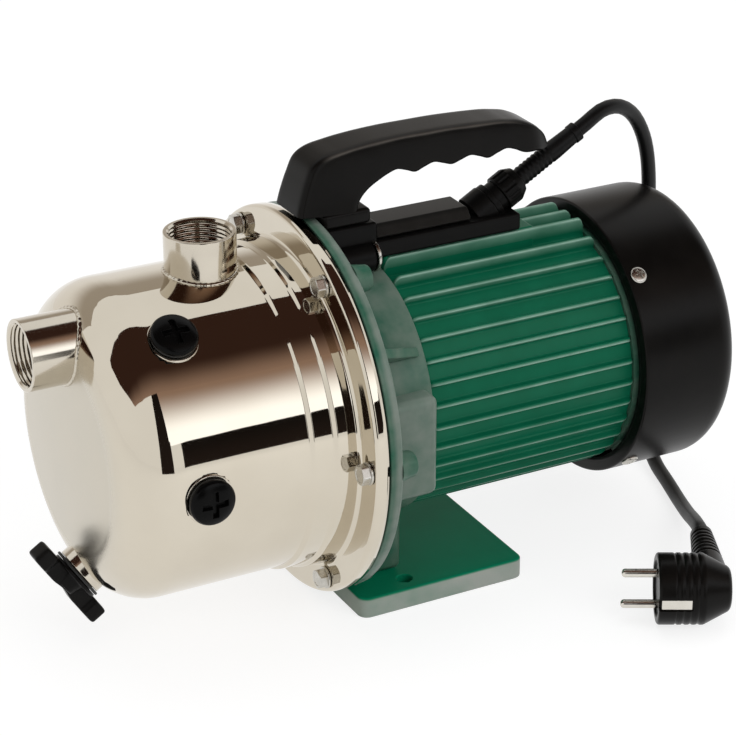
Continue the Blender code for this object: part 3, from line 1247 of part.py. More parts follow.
def handle_outline():
    """Give the handle's side outline: foot, leg, scalloped grip, tip and back."""
    points = [
        (BRACKET_REAR + PILLAR_SETBACK, 0.0, True),
        (HANDLE_FOOT_END, 0.0, True),
    ]
    points += list(HANDLE_LEG)
    for number in range(GRIP_GROOVES):
        crest = GRIP_START + GRIP_PITCH * number
        rise = GRIP_SEAT_RISE + GRIP_SWELL * math.sin(math.pi * number / GRIP_GROOVES)
        points += [(crest, rise), (crest + GRIP_PITCH / 2, rise + GROOVE_DEPTH)]
    points.append((GRIP_START + GRIP_PITCH * GRIP_GROOVES, GRIP_SEAT_RISE))
    points.append(HANDLE_TIP)
    points += list(HANDLE_TOP)
    points += [
        (HANDLE_FRONT, HANDLE_NOTCH_RISE, True),
        (BRACKET_REAR + PILLAR_SETBACK, HANDLE_NOTCH_RISE, True),
    ]
    return points


def make_handle():
    """Make the handle: a one-legged grip, free at its rear, on a wider foot."""
    frame = new_frame("handle_frame", (0.0, 0.0, HANDLE_SEAT), PUMP, (0.0, -1.0, 0.0))
    outline = handle_outline()
    handle = prism("handle", [outline], -HANDLE_HALF_WIDTH, HANDLE_HALF_WIDTH, frame, "black", smooth=3)
    round_edges(handle, HANDLE_ROUND, 2)
    foot = box("handle_foot", (BRACKET_REAR + PILLAR_SETBACK, -HANDLE_FOOT_HALF_WIDTH, HANDLE_SEAT),
               (HANDLE_FOOT_END, HANDLE_FOOT_HALF_WIDTH, HANDLE_SEAT + HANDLE_FOOT_HEIGHT), PUMP)
    join(handle, foot)


def make_gland():
    """Make the cable gland's body and nut and the ribbed kink guard, along the gland's axis."""
    neck = GLAND_RADIUS * GLAND_NECK_SHARE
    collar = GLAND_RADIUS * GLAND_COLLAR_SHARE
    body = [
        (0.0, GLAND_BODY_LENGTH), (neck, GLAND_BODY_LENGTH), (neck, GLAND_COLLAR_LENGTH),
        (collar, GLAND_COLLAR_LENGTH), (collar, 0.0), (0.0, 0.0),
    ]
    turned("gland_body", body, GLAND_FRAME, "black", HOLE_STEPS)
    start = GLAND_BODY_LENGTH + GAP
    end = start + GLAND_NUT_LENGTH
    nut = [
        (0.0, end), (GUARD_RADIUS + GLAND_NUT_LIP, end), (GLAND_RADIUS, end - GLAND_NUT_CONE),
        (GLAND_RADIUS, start), (0.0, start),
    ]
    turned("gland_nut", nut, GLAND_FRAME, "black", HOLE_STEPS)
    guard_start = end + GAP
    guard_end = guard_start + GUARD_LENGTH
    profile = [(0.0, guard_end), (GUARD_TIP_RADIUS, guard_end)]
    ribs_end = guard_start + GUARD_RIBS * GUARD_RIB_PITCH
    profile.append((GUARD_TIP_RADIUS + GUARD_TIP_TAPER, ribs_end + GUARD_RIB_PITCH))
    for number in range(GUARD_RIBS):
        top = ribs_end - number * GUARD_RIB_PITCH
        profile += [(GUARD_RADIUS, top), (GUARD_RADIUS - GUARD_RIB_DEPTH, top - GUARD_RIB_PITCH / 2)]
    profile += [(GUARD_RADIUS, guard_start), (0.0, guard_start)]
    turned("kink_guard", profile, GLAND_FRAME, "rubber", HOLE_STEPS)
    return guard_end


def mains_plug_frames():
    """Make the plug's frame at its face, with Z along the pins, and its boot's frame."""
    heading = math.radians(MAINS_PLUG_HEADING)
    pins = Vector((math.cos(heading), math.sin(heading), 0.0))
    rest = MAINS_PLUG_RADIUS - SHAFT_HEIGHT
    face = new_frame("mains_plug_frame", (*MAINS_PLUG_FACE, rest), PUMP, pins)
    away = Vector((-pins.y, pins.x, 0.0)) * -1.0
    root = Vector((*MAINS_PLUG_FACE, rest)) - pins * BOOT_OFFSET
    boot = new_frame("boot_frame", root, PUMP, away)
    return face, boot, root + away * (BOOT_REACH + GAP), away


def make_mains_plug():
    """Make the angled mains plug: body with boot, two pins and the earth clips at its sides."""
    face, boot, cord_start, away = mains_plug_frames()
    edge = MAINS_PLUG_EDGE
    back = -MAINS_PLUG_LENGTH
    profile = [
        (0.0, 0.0), (MAINS_PLUG_RADIUS - edge, 0.0), (MAINS_PLUG_RADIUS, -edge), (MAINS_PLUG_RADIUS, back),
        (MAINS_PLUG_BACK_RADIUS, back - MAINS_PLUG_BACK), (0.0, back - MAINS_PLUG_BACK),
    ]
    body = turned("plug_body", profile, face, "black", MIDDLE_STEPS)
    boot_profile = [
        (0.0, BOOT_REACH), (BOOT_TIP_RADIUS, BOOT_REACH),
        (BOOT_ROOT_RADIUS, MAINS_PLUG_RADIUS * BOOT_ROOT_SHARE),
        (BOOT_ROOT_RADIUS, 0.0), (0.0, 0.0),
    ]
    join(body, turned("plug_boot", boot_profile, boot, steps=SMALL_STEPS))
    upright = face.rotation_euler.to_matrix().inverted() @ Vector((0.0, 0.0, 1.0))
    sideways = Vector((-upright.y, upright.x, 0.0))
    for number, way in enumerate((1.0, -1.0)):
        centre = upright * (way * PIN_SPACING / 2)
        pin_frame = new_frame(f"pin_frame_{number + 1}", centre, face, (0.0, 0.0, 1.0))
        hole = rod(PIN_RADIUS + GAP, -PIN_SEAT - GAP, PIN_LENGTH)
        cut(body, turned(f"cut_pin_{number + 1}", hole, pin_frame, steps=HOLE_STEPS))
        tip = PIN_RADIUS / 2
        profile = [
            (0.0, PIN_LENGTH), (tip, PIN_LENGTH), (PIN_RADIUS, PIN_LENGTH - tip), (PIN_RADIUS, -PIN_SEAT),
            (0.0, -PIN_SEAT),
        ]
        turned(f"plug_pin_{number + 1}", profile, pin_frame, "nickel", HOLE_STEPS)
    angle = math.atan2(sideways.y, sideways.x)
    for number in range(2):
        clip_frame = new_frame(f"clip_frame_{number + 1}", (0.0, 0.0, 0.0), face, (0.0, 0.0, 1.0),
                               angle + math.pi * number)
        half = CLIP_WIDTH / 2
        floor = MAINS_PLUG_RADIUS - CLIP_NOTCH_DEPTH
        notch = box(f"cut_clip_{number + 1}", (floor, -half - GAP, -CLIP_LENGTH - GAP),
                    (MAINS_PLUG_RADIUS * 2, half + GAP, MAINS_PLUG_LENGTH), clip_frame)
        cut(body, notch)
        box(f"plug_earth_clip_{number + 1}", (floor + GAP, -half, -CLIP_LENGTH),
            (floor + GAP + CLIP_THICKNESS, half, -edge), clip_frame, "nickel")
    return cord_start, away


def smooth_point(before, start, end, after, share):
    """Give a point between start and end on the smooth curve through four knots."""
    linear = (end - before) * share
    square = (2 * before - 5 * start + 4 * end - after) * share ** 2
    cube = (3 * start - before - 3 * end + after) * share ** 3
    return (2 * start + linear + square + cube) / 2


def smooth_route(knots, step):
    """Read evenly spaced points from a smooth curve through the knots, with a straight lead at each end."""
    dense = []
    for quad in zip(knots, knots[1:], knots[2:], knots[3:]):
        dense += [smooth_point(*quad, index / ROUTE_STEPS) for index in range(ROUTE_STEPS)]
    dense.append(knots[-2])
    lengths = [0.0]
    for first, second in zip(dense, dense[1:]):
        lengths.append(lengths[-1] + (second - first).length)
    count = round(lengths[-1] / step)
    points = [knots[0]]
    reached = 0
    for index in range(count):
        target = lengths[-1] * index / count
        while lengths[reached + 1] < target:
            reached += 1
        share = (target - lengths[reached]) / (lengths[reached + 1] - lengths[reached])
        points.append(dense[reached].lerp(dense[reached + 1], share))
    return points + knots[-2:]


def make_cord(guard_end, plug_start, away):
    """Make the mains cord as one tube from the kink guard to the plug's boot."""
    exit_direction = Vector(GLAND_DIRECTION)
    exit_point = GLAND_FRAME.location + exit_direction * (guard_end + GAP)
    knots = [exit_point, exit_point + exit_direction * CORD_LEAD]
    knots += [Vector(point) for point in CORD_ROUTE]
    knots += [plug_start + away * CORD_LEAD, plug_start]
    curve = bpy.data.curves.new("mains_cord", "CURVE")
    curve.dimensions = "3D"
    curve.bevel_depth = CORD_RADIUS
    curve.bevel_resolution = 2
    curve.use_fill_caps = True
    points = smooth_route(knots, CORD_STEP)
    spline = curve.splines.new("POLY")
    spline.points.add(len(points) - 1)
    for knot, point in zip(spline.points, points):
        knot.co = (*point, 1.0)
    cord = bpy.data.objects.new("mains_cord", curve)
    cord.parent = PUMP
    PARTS.objects.link(cord)
    curve.materials.append(finish_material("mains_cord", "rubber"))


def make_slinger():
    """Make the rubber slinger that keeps drips off the front bearing."""
    start = JOINT_THICKNESS + SLINGER_OFFSET
    profile = ring(SHAFT_SEAL_RADIUS + GAP, SLINGER_RADIUS, start, start + SLINGER_LENGTH)
    turned("slinger", profile, SHAFT_LINE, "rubber", SMALL_STEPS)


def main():
    """Make every piece of the pump."""
    make_casing()
    make_ports()
    for name, frame in PLUG_FRAMES.items():
        make_side_plug(name, frame)
    make_drain()
    make_flange_bolts()
    make_joint_seal()
    make_seal_plate()
    make_shaft_seal()
    make_impeller()
    make_impeller_nut()
    make_diffuser()
    make_ejector()
    make_shaft()
    make_bearing("front", FRONT_BEARING_X, FRONT_BEARING_WIDTH, FRONT_BEARING_RADIUS, SHAFT_FRONT_RADIUS)
    make_bearing("rear", REAR_BEARING_X, REAR_BEARING_WIDTH, REAR_BEARING_RADIUS, SHAFT_REAR_RADIUS)
    make_slinger()
    make_bracket()
    make_foot()
    make_housing()
    make_stator_and_rotor()
    make_rear_shield()
    make_fan()
    make_fan_cover()
    make_terminal_box()
    make_lid()
    make_handle()
    guard_end = make_gland()
    plug_start, away = make_mains_plug()
    make_cord(guard_end, plug_start, away)


main()
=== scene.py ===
"""Looks of a shallow well jet pump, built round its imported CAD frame.

Sizes are in metres in the pump frame: x runs along the shaft from the casing's joint plane to the fan
cover, y and z are measured from the shaft's line. ROW_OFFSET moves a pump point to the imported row's frame.
"""

from __future__ import annotations

import json
import logging
import math
from dataclasses import dataclass
from enum import Enum
from typing import Callable, Sequence, Union

import bmesh
import bpy
import numpy as np
from mathutils import Matrix

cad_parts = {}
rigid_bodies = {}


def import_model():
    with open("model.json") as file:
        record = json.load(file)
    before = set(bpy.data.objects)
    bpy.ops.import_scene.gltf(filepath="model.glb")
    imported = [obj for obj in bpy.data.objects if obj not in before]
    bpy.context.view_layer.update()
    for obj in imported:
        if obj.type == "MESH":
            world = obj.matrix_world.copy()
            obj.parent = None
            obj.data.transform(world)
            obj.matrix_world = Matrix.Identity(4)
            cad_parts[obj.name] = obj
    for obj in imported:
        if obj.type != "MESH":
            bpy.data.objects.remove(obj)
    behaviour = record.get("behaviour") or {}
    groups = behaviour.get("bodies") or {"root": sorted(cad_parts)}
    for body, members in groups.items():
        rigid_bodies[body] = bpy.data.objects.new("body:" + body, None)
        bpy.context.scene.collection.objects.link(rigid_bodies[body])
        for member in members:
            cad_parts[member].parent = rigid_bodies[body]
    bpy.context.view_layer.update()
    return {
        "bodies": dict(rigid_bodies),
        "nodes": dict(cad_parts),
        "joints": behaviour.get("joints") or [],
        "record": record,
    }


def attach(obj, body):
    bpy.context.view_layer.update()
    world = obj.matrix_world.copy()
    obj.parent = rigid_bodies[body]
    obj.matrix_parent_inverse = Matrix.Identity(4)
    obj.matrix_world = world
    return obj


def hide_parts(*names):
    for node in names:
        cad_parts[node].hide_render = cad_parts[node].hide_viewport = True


LOG = logging.getLogger("jet_pump")
ROW_OFFSET = np.array((-0.065, 0.0, 0.112))
MERGE = 2e-6
TINY = 1e-5
FULL_TURN = 2.0 * math.pi

# Sizes that more than one sub-assembly shares.
CASING_RADIUS = 0.0860
PLUG_X = -0.0865
PLUG_PITCH = 0.002
FILL_ANGLE = 57.0
GAUGE_ANGLE = 0.0
DRAIN_AT = (-0.12316, 0.0, -0.072339)
DRAIN_OUT = (-0.838671, 0.0, -0.544639)
BOLT_COUNT = 6
BOLT_PITCH = 60.0
BOLT_CIRCLE = 0.09805
GLAND_AT = (0.1220, 0.0, 0.0902)
GLAND_TILT = math.radians(30.1)
GLAND_WAY = np.array((math.cos(GLAND_TILT), 0.0, math.sin(GLAND_TILT)))

Array = np.ndarray
Point = tuple[float, float, float]
Colour = tuple[float, float, float]
Number = Union[float, "Signal"]
Pair = tuple[float, float]
Field = Callable[[Array, Array], Array]
Piece = bpy.types.Object


class Body(Enum):
    """The CAD bodies that pieces ride on."""

    PUMP = "pump"
    FILL_SEAL = "fill_seal"
    FILL_SCREW = "fill_screw"
    GAUGE_SEAL = "gauge_seal"
    GAUGE_SCREW = "gauge_screw"
    DRAIN_SEAL = "drain_seal"
    DRAIN_SCREW = "drain_screw"


class Slot(Enum):
    """The record's material slots, listed beside each new piece; nothing reads them."""

    STAINLESS = "polished_stainless"
    ZINC = "zinc_plated"
    GREEN = "green_enamel"
    BLACK = "black_plastic"
    GREY = "grey_plastic"
    RUBBER = "black_rubber"
    NICKEL = "nickel"


# --- shader maths


class Signal:
    """A value socket whose Python operators add Math nodes."""

    def __init__(self, sheet: "ShaderSheet", socket: bpy.types.NodeSocket) -> None:
        """Hold a socket and the sheet it lies on."""
        self.sheet = sheet
        self.socket = socket

    def worked(self, operation: str, first: Number, second: Number = 0.0) -> "Signal":
        """Add one Math node.

        Args:
            operation: the Math node's operation.
            first: its first value or link.
            second: its second value or link.

        Returns:
            The node's output.
        """
        node = self.sheet.node("ShaderNodeMath", {"operation": operation}, {0: first, 1: second})
        return Signal(self.sheet, node.outputs[0])

    def __add__(self, other: Number) -> "Signal":
        """Give self + other."""
        return self.worked("ADD", self, other)

    def __radd__(self, other: Number) -> "Signal":
        """Give other + self."""
        return self.worked("ADD", other, self)

    def __sub__(self, other: Number) -> "Signal":
        """Give self - other."""
        return self.worked("SUBTRACT", self, other)

    def __rsub__(self, other: Number) -> "Signal":
        """Give other - self."""
        return self.worked("SUBTRACT", other, self)

    def __mul__(self, other: Number) -> "Signal":
        """Give self * other."""
        return self.worked("MULTIPLY", self, other)

    def __rmul__(self, other: Number) -> "Signal":
        """Give other * self."""
        return self.worked("MULTIPLY", other, self)

    def at_most(self, limit: float) -> "Signal":
        """Give the smaller of self and a limit."""
        return self.worked("MINIMUM", self, limit)

    def at_least(self, limit: float) -> "Signal":
        """Give the larger of self and a limit."""
        return self.worked("MAXIMUM", self, limit)


class ShaderSheet:
    """The node tree of one material or world."""

    def __init__(self, owner: Union[bpy.types.Material, bpy.types.World]) -> None:
        """Empty the owner's node tree."""
        owner.use_nodes = True
        self.tree = owner.node_tree
        self.tree.nodes.clear()

    def node(self, kind: str, settings: dict | None = None, sockets: dict | None = None) -> bpy.types.Node:
        """Add one node.

        Args:
            kind: the node's type.
            settings: its properties, set first.
            sockets: values, Signals or sockets for its inputs, by name or number.

        Returns:
            The new node.
        """
        node = self.tree.nodes.new(kind)
        for name, value in (settings or {}).items():
            setattr(node, name, value)
        for key, value in (sockets or {}).items():
            source = value.socket if isinstance(value, Signal) else value
            if isinstance(source, bpy.types.NodeSocket):
                self.tree.links.new(source, node.inputs[key])
            else:
                node.inputs[key].default_value = source
        return node

    def noise(self, place: bpy.types.NodeSocket, scale: float, detail: float = 3.0) -> Signal:
        """Give a noise pattern of about 0 to 1 at a scale per metre."""
        node = self.node("ShaderNodeTexNoise", {}, {"Vector": place, "Scale": scale, "Detail": detail})
        return Signal(self, node.outputs[0])

    def blend(self, share: Signal, first: object, second: object) -> bpy.types.NodeSocket:
        """Mix two colours or colour links by a share.

        Args:
            share: the second colour's share.
            first: the first colour or link.
            second: the second.

        Returns:
            The mixed colour's socket.
        """
        node = self.node("ShaderNodeMix", {"data_type": "RGBA"}, {0: share.at_most(1.0).at_least(0.0)})
        for socket, value in ((node.inputs[6], first), (node.inputs[7], second)):
            if isinstance(value, bpy.types.NodeSocket):
                self.tree.links.new(value, socket)
            else:
                socket.default_value = (*value, 1.0)
        return node.outputs[2]


# How much patches and grain each sway the roughness, and the least share of the marked tone: the steel's
# satin front, and painted highlights and painted reflections elsewhere.
PATCH_SHARE = 0.6
GRAIN_SHARE = 0.4
SHEEN_AND_SATIN_LEAST = 0.35


@dataclass(frozen=True)
class Finish:
    """A surface: two tones in soft patches, a roughness range, fine grain and long waves in its relief.

    The grain is noise stretched by `stretch`, so polishing and drawing lines follow an axis.
    `sheen_and_satin` is the tone, and `dulled` the added roughness, where a piece marks itself with its
    "edge" attribute: the satin front of the steel casing, and painted highlights and painted reflections on
    the enamels and the handle.
    """

    name: str
    dark: Colour
    light: Colour
    rough: Pair
    metal: float = 0.0
    patches: float = 40.0
    grain: float = 900.0
    grain_depth: float = 0.00001
    stretch: Point = (1.0, 1.0, 1.0)
    waves: float = 12.0
    wave_depth: float = 0.0
    specular: float = 0.5
    sheen_and_satin: Colour | None = None
    contrast: float = 1.6
    dulled: float = 0.0

    def material(self) -> bpy.types.Material:
        """Make the material once and give it again after that.

        Returns:
            The material.
        """
        made = bpy.data.materials.get(self.name)
        if made is not None:
            return made
        made = bpy.data.materials.new(self.name)
        sheet = ShaderSheet(made)
        place = sheet.node("ShaderNodeTexCoord").outputs["Object"]
        drawn = sheet.node("ShaderNodeMapping", {}, {"Vector": place, "Scale": self.stretch}).outputs[0]
        patch = sheet.noise(place, self.patches)
        grain = sheet.noise(drawn, self.grain, 2.0)
        colour = sheet.blend((patch - 0.5) * self.contrast + 0.5, self.dark, self.light)
        low, high = self.rough
        rough = (patch * PATCH_SHARE + grain * GRAIN_SHARE) * (high - low) + low
        # Blend towards the marked tone where a piece marks itself: the satin front's tone on the steel
        # casing, painted highlights and painted reflections on the enamels and the handle.
        if self.sheen_and_satin is not None:
            edge = Signal(sheet, sheet.node("ShaderNodeAttribute", {"attribute_name": "edge"}).outputs["Fac"])
            colour = sheet.blend(edge * (SHEEN_AND_SATIN_LEAST + patch), colour, self.sheen_and_satin)
            rough = rough + edge * self.dulled
        height = grain * self.grain_depth
        if self.wave_depth:
            height = height + sheet.noise(place, self.waves, 1.0) * self.wave_depth
        bump = sheet.node("ShaderNodeBump", {}, {"Strength": 1.0, "Distance": 1.0, "Height": height})
        shader = sheet.node("ShaderNodeBsdfPrincipled", {}, {
            "Base Color": colour, "Metallic": self.metal, "Roughness": rough,
            "Specular IOR Level": self.specular, "Normal": bump.outputs[0],
        })
        sheet.node("ShaderNodeOutputMaterial", {}, {0: shader.outputs[0]})
        return made


MIRROR_STEEL = Finish(
    "mirror_steel", (0.600, 0.545, 0.450), (0.650, 0.597, 0.500), (0.015, 0.055), metal=1.0, patches=26.0,
    grain=700.0, grain_depth=0.0000015, stretch=(2.5, 0.15, 0.15), waves=22.0, wave_depth=0.00026,
    sheen_and_satin=(0.58, 0.54, 0.46), dulled=0.28)
WELDED_STEEL = Finish(
    "welded_steel", (0.50, 0.45, 0.37), (0.62, 0.57, 0.48), (0.10, 0.26), metal=1.0, patches=160.0,
    grain=1400.0, grain_depth=0.00003)
TURNED_STEEL = Finish(
    "turned_steel", (0.57, 0.52, 0.44), (0.64, 0.59, 0.50), (0.06, 0.16), metal=1.0, patches=60.0,
    grain=1500.0, grain_depth=0.000004)
ZINC_PLATE = Finish(
    "zinc_plate", (0.46, 0.44, 0.40), (0.64, 0.62, 0.57), (0.18, 0.34), metal=1.0, patches=220.0,
    grain=1600.0, grain_depth=0.00001)
NICKEL_PLATE = Finish(
    "nickel_plate", (0.62, 0.59, 0.53), (0.72, 0.69, 0.63), (0.12, 0.24), metal=1.0, patches=150.0,
    grain=1800.0, grain_depth=0.000006)
MACHINED_STEEL = Finish(
    "machined_steel", (0.38, 0.38, 0.38), (0.52, 0.52, 0.51), (0.22, 0.40), metal=1.0, patches=120.0,
    grain=900.0, grain_depth=0.00001, stretch=(3.0, 0.4, 0.4))
# Its marked tone is a painted highlight: pale lines along the fins' top edges.
FIN_ENAMEL = Finish(
    "fin_enamel", (0.0022, 0.110, 0.054), (0.0034, 0.140, 0.071), (0.30, 0.42), patches=55.0, grain=650.0,
    grain_depth=0.000010, specular=0.13, sheen_and_satin=(0.30, 0.47, 0.38))
# Its light patch tone and its marked tone are painted grey sheen: the cast paint's reflections, laid in as
# paler colour.
CAST_ENAMEL = Finish(
    "cast_enamel", (0.008, 0.098, 0.056), (0.115, 0.172, 0.132), (0.26, 0.42), patches=75.0, grain=420.0,
    grain_depth=0.00005, waves=90.0, wave_depth=0.00012, specular=0.20, sheen_and_satin=(0.245, 0.275, 0.245),
    contrast=2.2)
# Lighter green than the housing's: painted light against the motor's shadow on the plate. Its marked tone is
# a painted reflection of the pale floor on the plate's sides.
FOOT_ENAMEL = Finish(
    "foot_enamel", (0.0022, 0.190, 0.094), (0.0036, 0.230, 0.118), (0.34, 0.48), patches=45.0, grain=500.0,
    grain_depth=0.00003, specular=0.06, sheen_and_satin=(0.42, 0.45, 0.41))
# Its marked tone is a painted highlight along the carrying handle's shoulder ridge.
SATIN_BLACK = Finish(
    "satin_black", (0.0030, 0.0026, 0.0023), (0.0058, 0.0050, 0.0043), (0.24, 0.36), patches=60.0,
    grain=1900.0, grain_depth=0.000012, specular=0.11, sheen_and_satin=(0.075, 0.066, 0.058))
GRAINED_BLACK = Finish(
    "grained_black", (0.0024, 0.0023, 0.0022), (0.0046, 0.0043, 0.0040), (0.34, 0.46), patches=70.0,
    grain=2300.0, grain_depth=0.00003, specular=0.10)
GLOSS_BLACK = Finish(
    "gloss_black", (0.0016, 0.0016, 0.0016), (0.0030, 0.0029, 0.0028), (0.18, 0.30), patches=90.0,
    grain=1200.0, grain_depth=0.000008, specular=0.08)
LID_GREY = Finish(
    "lid_grey", (0.0095, 0.0090, 0.0082), (0.0155, 0.0148, 0.0135), (0.30, 0.40), patches=80.0,
    grain=1900.0, grain_depth=0.00002, specular=0.16)
SHEATH_RUBBER = Finish(
    "sheath_rubber", (0.0024, 0.0024, 0.0024), (0.0050, 0.0049, 0.0048), (0.34, 0.48), patches=110.0,
    grain=1500.0, grain_depth=0.00002, specular=0.16)
SEAL_RUBBER = Finish(
    "seal_rubber", (0.009, 0.009, 0.009), (0.015, 0.015, 0.014), (0.50, 0.66), patches=150.0, grain=1500.0,
    grain_depth=0.00002)
WHITE_PLASTIC = Finish(
    "white_plastic_body", (0.66, 0.66, 0.62), (0.78, 0.77, 0.73), (0.38, 0.52), patches=60.0)
GREY_PLASTIC = Finish(
    "grey_plastic_body", (0.035, 0.035, 0.034), (0.055, 0.055, 0.053), (0.42, 0.56), patches=60.0)
MACHINED_BRASS = Finish(
    "machined_brass", (0.56, 0.36, 0.11), (0.72, 0.49, 0.17), (0.18, 0.34), metal=1.0, patches=110.0,
    grain=1200.0, grain_depth=0.000008, stretch=(3.0, 0.5, 0.5))
COPPER_WIRE = Finish(
    "copper_wire", (0.42, 0.14, 0.05), (0.66, 0.27, 0.11), (0.26, 0.42), metal=1.0, patches=300.0,
    grain=900.0, grain_depth=0.0002, stretch=(0.3, 2.0, 2.0))


# --- surfaces


def unit(vector: Sequence[float]) -> Array:
    """Give a vector at length 1."""
    vector = np.asarray(vector, float)
    return vector / np.linalg.norm(vector)


def frame_at(origin: Sequence[float], along: Sequence[float], up: Sequence[float]) -> Array:
    """Make the 4 x 4 placing of a local frame.

    Local Z is `along`, local Y is `up` made square to it, and local X is Y x Z.

    Args:
        origin: the frame's place in the pump frame.
        along: the direction of local Z.
        up: the direction that local Y leans to.

    Returns:
        The placing in the row's frame.
    """
    along = unit(along)
    up = np.asarray(up, float)
    side = unit(up - along * (up @ along))
    placing = np.eye(4)
    placing[:3, :3] = np.stack([np.cross(side, along), side, along], 1)
    placing[:3, 3] = np.asarray(origin, float) + ROW_OFFSET
    return placing


PUMP_FRAME = frame_at((0, 0, 0), (0, 0, 1), (0, 1, 0))
SHAFT_FRAME = frame_at((0, 0, 0), (1, 0, 0), (0, 0, 1))


def rounded(corners: Sequence[Sequence[float]], steps: int = 6) -> Array:
    """Round the corners of a broken line.

    Each corner (a, b, radius) gives way to the arc of that radius that touches both its sides; a corner
    without a radius stays sharp.

    Args:
        corners: the line's corners.
        steps: spans on each arc.

    Returns:
        The line's points, (n, 2).
    """
    points = np.array([corner[:2] for corner in corners], float)
    radii = [corner[2] if len(corner) > 2 else 0.0 for corner in corners]
    line = [points[:1]]
    for before, corner, after, radius in zip(points, points[1:], points[2:], radii[1:]):
        if not radius:
            line.append(corner[None])
            continue
        back, ahead = unit(before - corner), unit(after - corner)
        half = math.acos(float(np.clip(back @ ahead, -1.0, 1.0))) / 2
        reach = radius / math.tan(half)
        centre = corner + unit(back + ahead) * radius / math.sin(half)
        turn = math.pi - 2 * half
        share = np.linspace(0.0, 1.0, steps + 1)[:, None]
        first, last = corner + back * reach - centre, corner + ahead * reach - centre
        arc = np.sin((1 - share) * turn) * first + np.sin(share * turn) * last
        line.append(centre + arc / math.sin(turn))
    line.append(points[-1:])
    return np.concatenate(line)


def refined(line: Array, step: float) -> Array:
    """Add even stations to a line, at most a step apart, and keep its own points.

    Args:
        line: the line.
        step: the largest step.

    Returns:
        The finer line.
    """
    lengths = np.concatenate([[0.0], np.cumsum(np.linalg.norm(np.diff(line, axis=0), axis=1))])
    even = np.arange(0.0, lengths[-1], step)
    clear = np.abs(even[:, None] - lengths[None, :]).min(1) > step * 0.25
    stations = np.sort(np.concatenate([lengths, even[clear]]))
    return np.stack([np.interp(stations, lengths, line[:, axis]) for axis in range(line.shape[1])], 1)


def turned(line: Array, columns: int, ripple: Field | None = None) -> Array:
    """Turn a line about local Z.

    Point (i, j) is (r cos t, r sin t, z), with r and z from the line's point i, t the share j of a full turn,
    and r changed by the ripple of (t, z) where one is given.

    Args:
        line: (radius, height) points.
        columns: points round the turn.
        ripple: what is added to the radius.

    Returns:
        The grid, (rows, columns, 3).
    """
    angle = np.linspace(0.0, FULL_TURN, columns, endpoint=False)[None, :]
    radius, height = line[:, :1], line[:, 1:2]
    if ripple is not None:
        radius = np.maximum(radius + ripple(angle, height), 0.0)
    radius = radius + 0.0 * angle
    return np.stack([radius * np.cos(angle), radius * np.sin(angle), height + 0.0 * angle], -1)


def ring_line(radii: Pair, heights: Pair, outer_round: float, inner_round: float) -> Array:
    """Give a washer's section, open where it starts at half height on the bore.

    Args:
        radii: the bore's radius and the outside's.
        heights: the lower face and the upper.
        outer_round: the radius of the outer edges.
        inner_round: the radius of the inner edges.

    Returns:
        The section's points, (n, 2).
    """
    (inner, outer), (low, high) = radii, heights
    middle = (inner, (low + high) / 2)
    return rounded([middle, (inner, high, inner_round), (outer, high, outer_round), (outer, low, outer_round),
                    (inner, low, inner_round), middle], 4)[:-1]


def block(low: Sequence[float], high: Sequence[float], edge: float, steps: int = 4) -> Array:
    """Make a box with round edges.

    A point is its octant's inner corner plus the edge radius times a direction on the ball, so the ball's
    eight parts are spread to the box's corners; the first and last row close the flat ends in their middle.

    Args:
        low: the box's lowest corner.
        high: its highest corner.
        edge: the edges' radius.
        steps: spans on each quarter of a turn.

    Returns:
        The grid, (rows, columns, 3).
    """
    low, high = np.asarray(low, float), np.asarray(high, float)
    quarter = np.linspace(0.0, math.pi / 2, steps + 1)
    turn = np.concatenate([quarter + math.pi / 2 * part for part in range(4)])
    sign_x = np.repeat((1.0, -1.0, -1.0, 1.0), steps + 1)
    sign_y = np.repeat((1.0, 1.0, -1.0, -1.0), steps + 1)
    rise = np.concatenate([quarter - math.pi / 2, quarter])[:, None]
    sign_z = np.repeat((-1.0, 1.0), steps + 1)[:, None]
    level = np.cos(rise)
    way = np.stack([level * np.cos(turn), level * np.sin(turn), np.sin(rise) + 0.0 * turn], -1)
    sign = np.stack([sign_x + 0.0 * rise, sign_y + 0.0 * rise, sign_z + 0.0 * turn], -1)
    grid = (low + high) / 2 + sign * ((high - low) / 2 - edge) + way * edge
    ends = [np.repeat(row.mean(0)[None, None], len(turn), 1) for row in (grid[0], grid[-1])]
    return np.concatenate([ends[0], grid, ends[1]])


def smooth_through(stations: Sequence[float], knots: Sequence[Sequence[float]], samples: Array) -> Array:
    """Read a smooth curve through knots: cubic spans whose slope at a knot joins its neighbours.

    Args:
        stations: the knots' parameters, rising.
        knots: the knots.
        samples: the parameters to read.

    Returns:
        The curve's points, (samples, dimensions).
    """
    station, knot = np.asarray(stations, float), np.asarray(knots, float)
    slope = np.gradient(knot, station, axis=0)
    span = np.clip(np.searchsorted(station, samples, side="right") - 1, 0, len(station) - 2)
    width = (station[span + 1] - station[span])[:, None]
    share = (samples[:, None] - station[span][:, None]) / width
    square, cube = share ** 2, share ** 3
    return ((2 * cube - 3 * square + 1) * knot[span] + (cube - 2 * square + share) * width * slope[span]
            + (3 * square - 2 * cube) * knot[span + 1] + (cube - square) * width * slope[span + 1])


def soft_step(value: Array, start: float, end: float) -> Array:
    """Rise smoothly from 0 at start to 1 at end."""
    share = np.clip((value - start) / (end - start), 0.0, 1.0)
    return share * share * (3.0 - 2.0 * share)


def bulged(angle: Array, power: float) -> tuple[Array, Array]:
    """Give the two coordinates of a rounded square of half side 1, as a superellipse of a power."""
    across, rise = np.cos(angle), np.sin(angle)
    return (np.sign(across) * np.abs(across) ** (2.0 / power), np.sign(rise) * np.abs(rise) ** (2.0 / power))


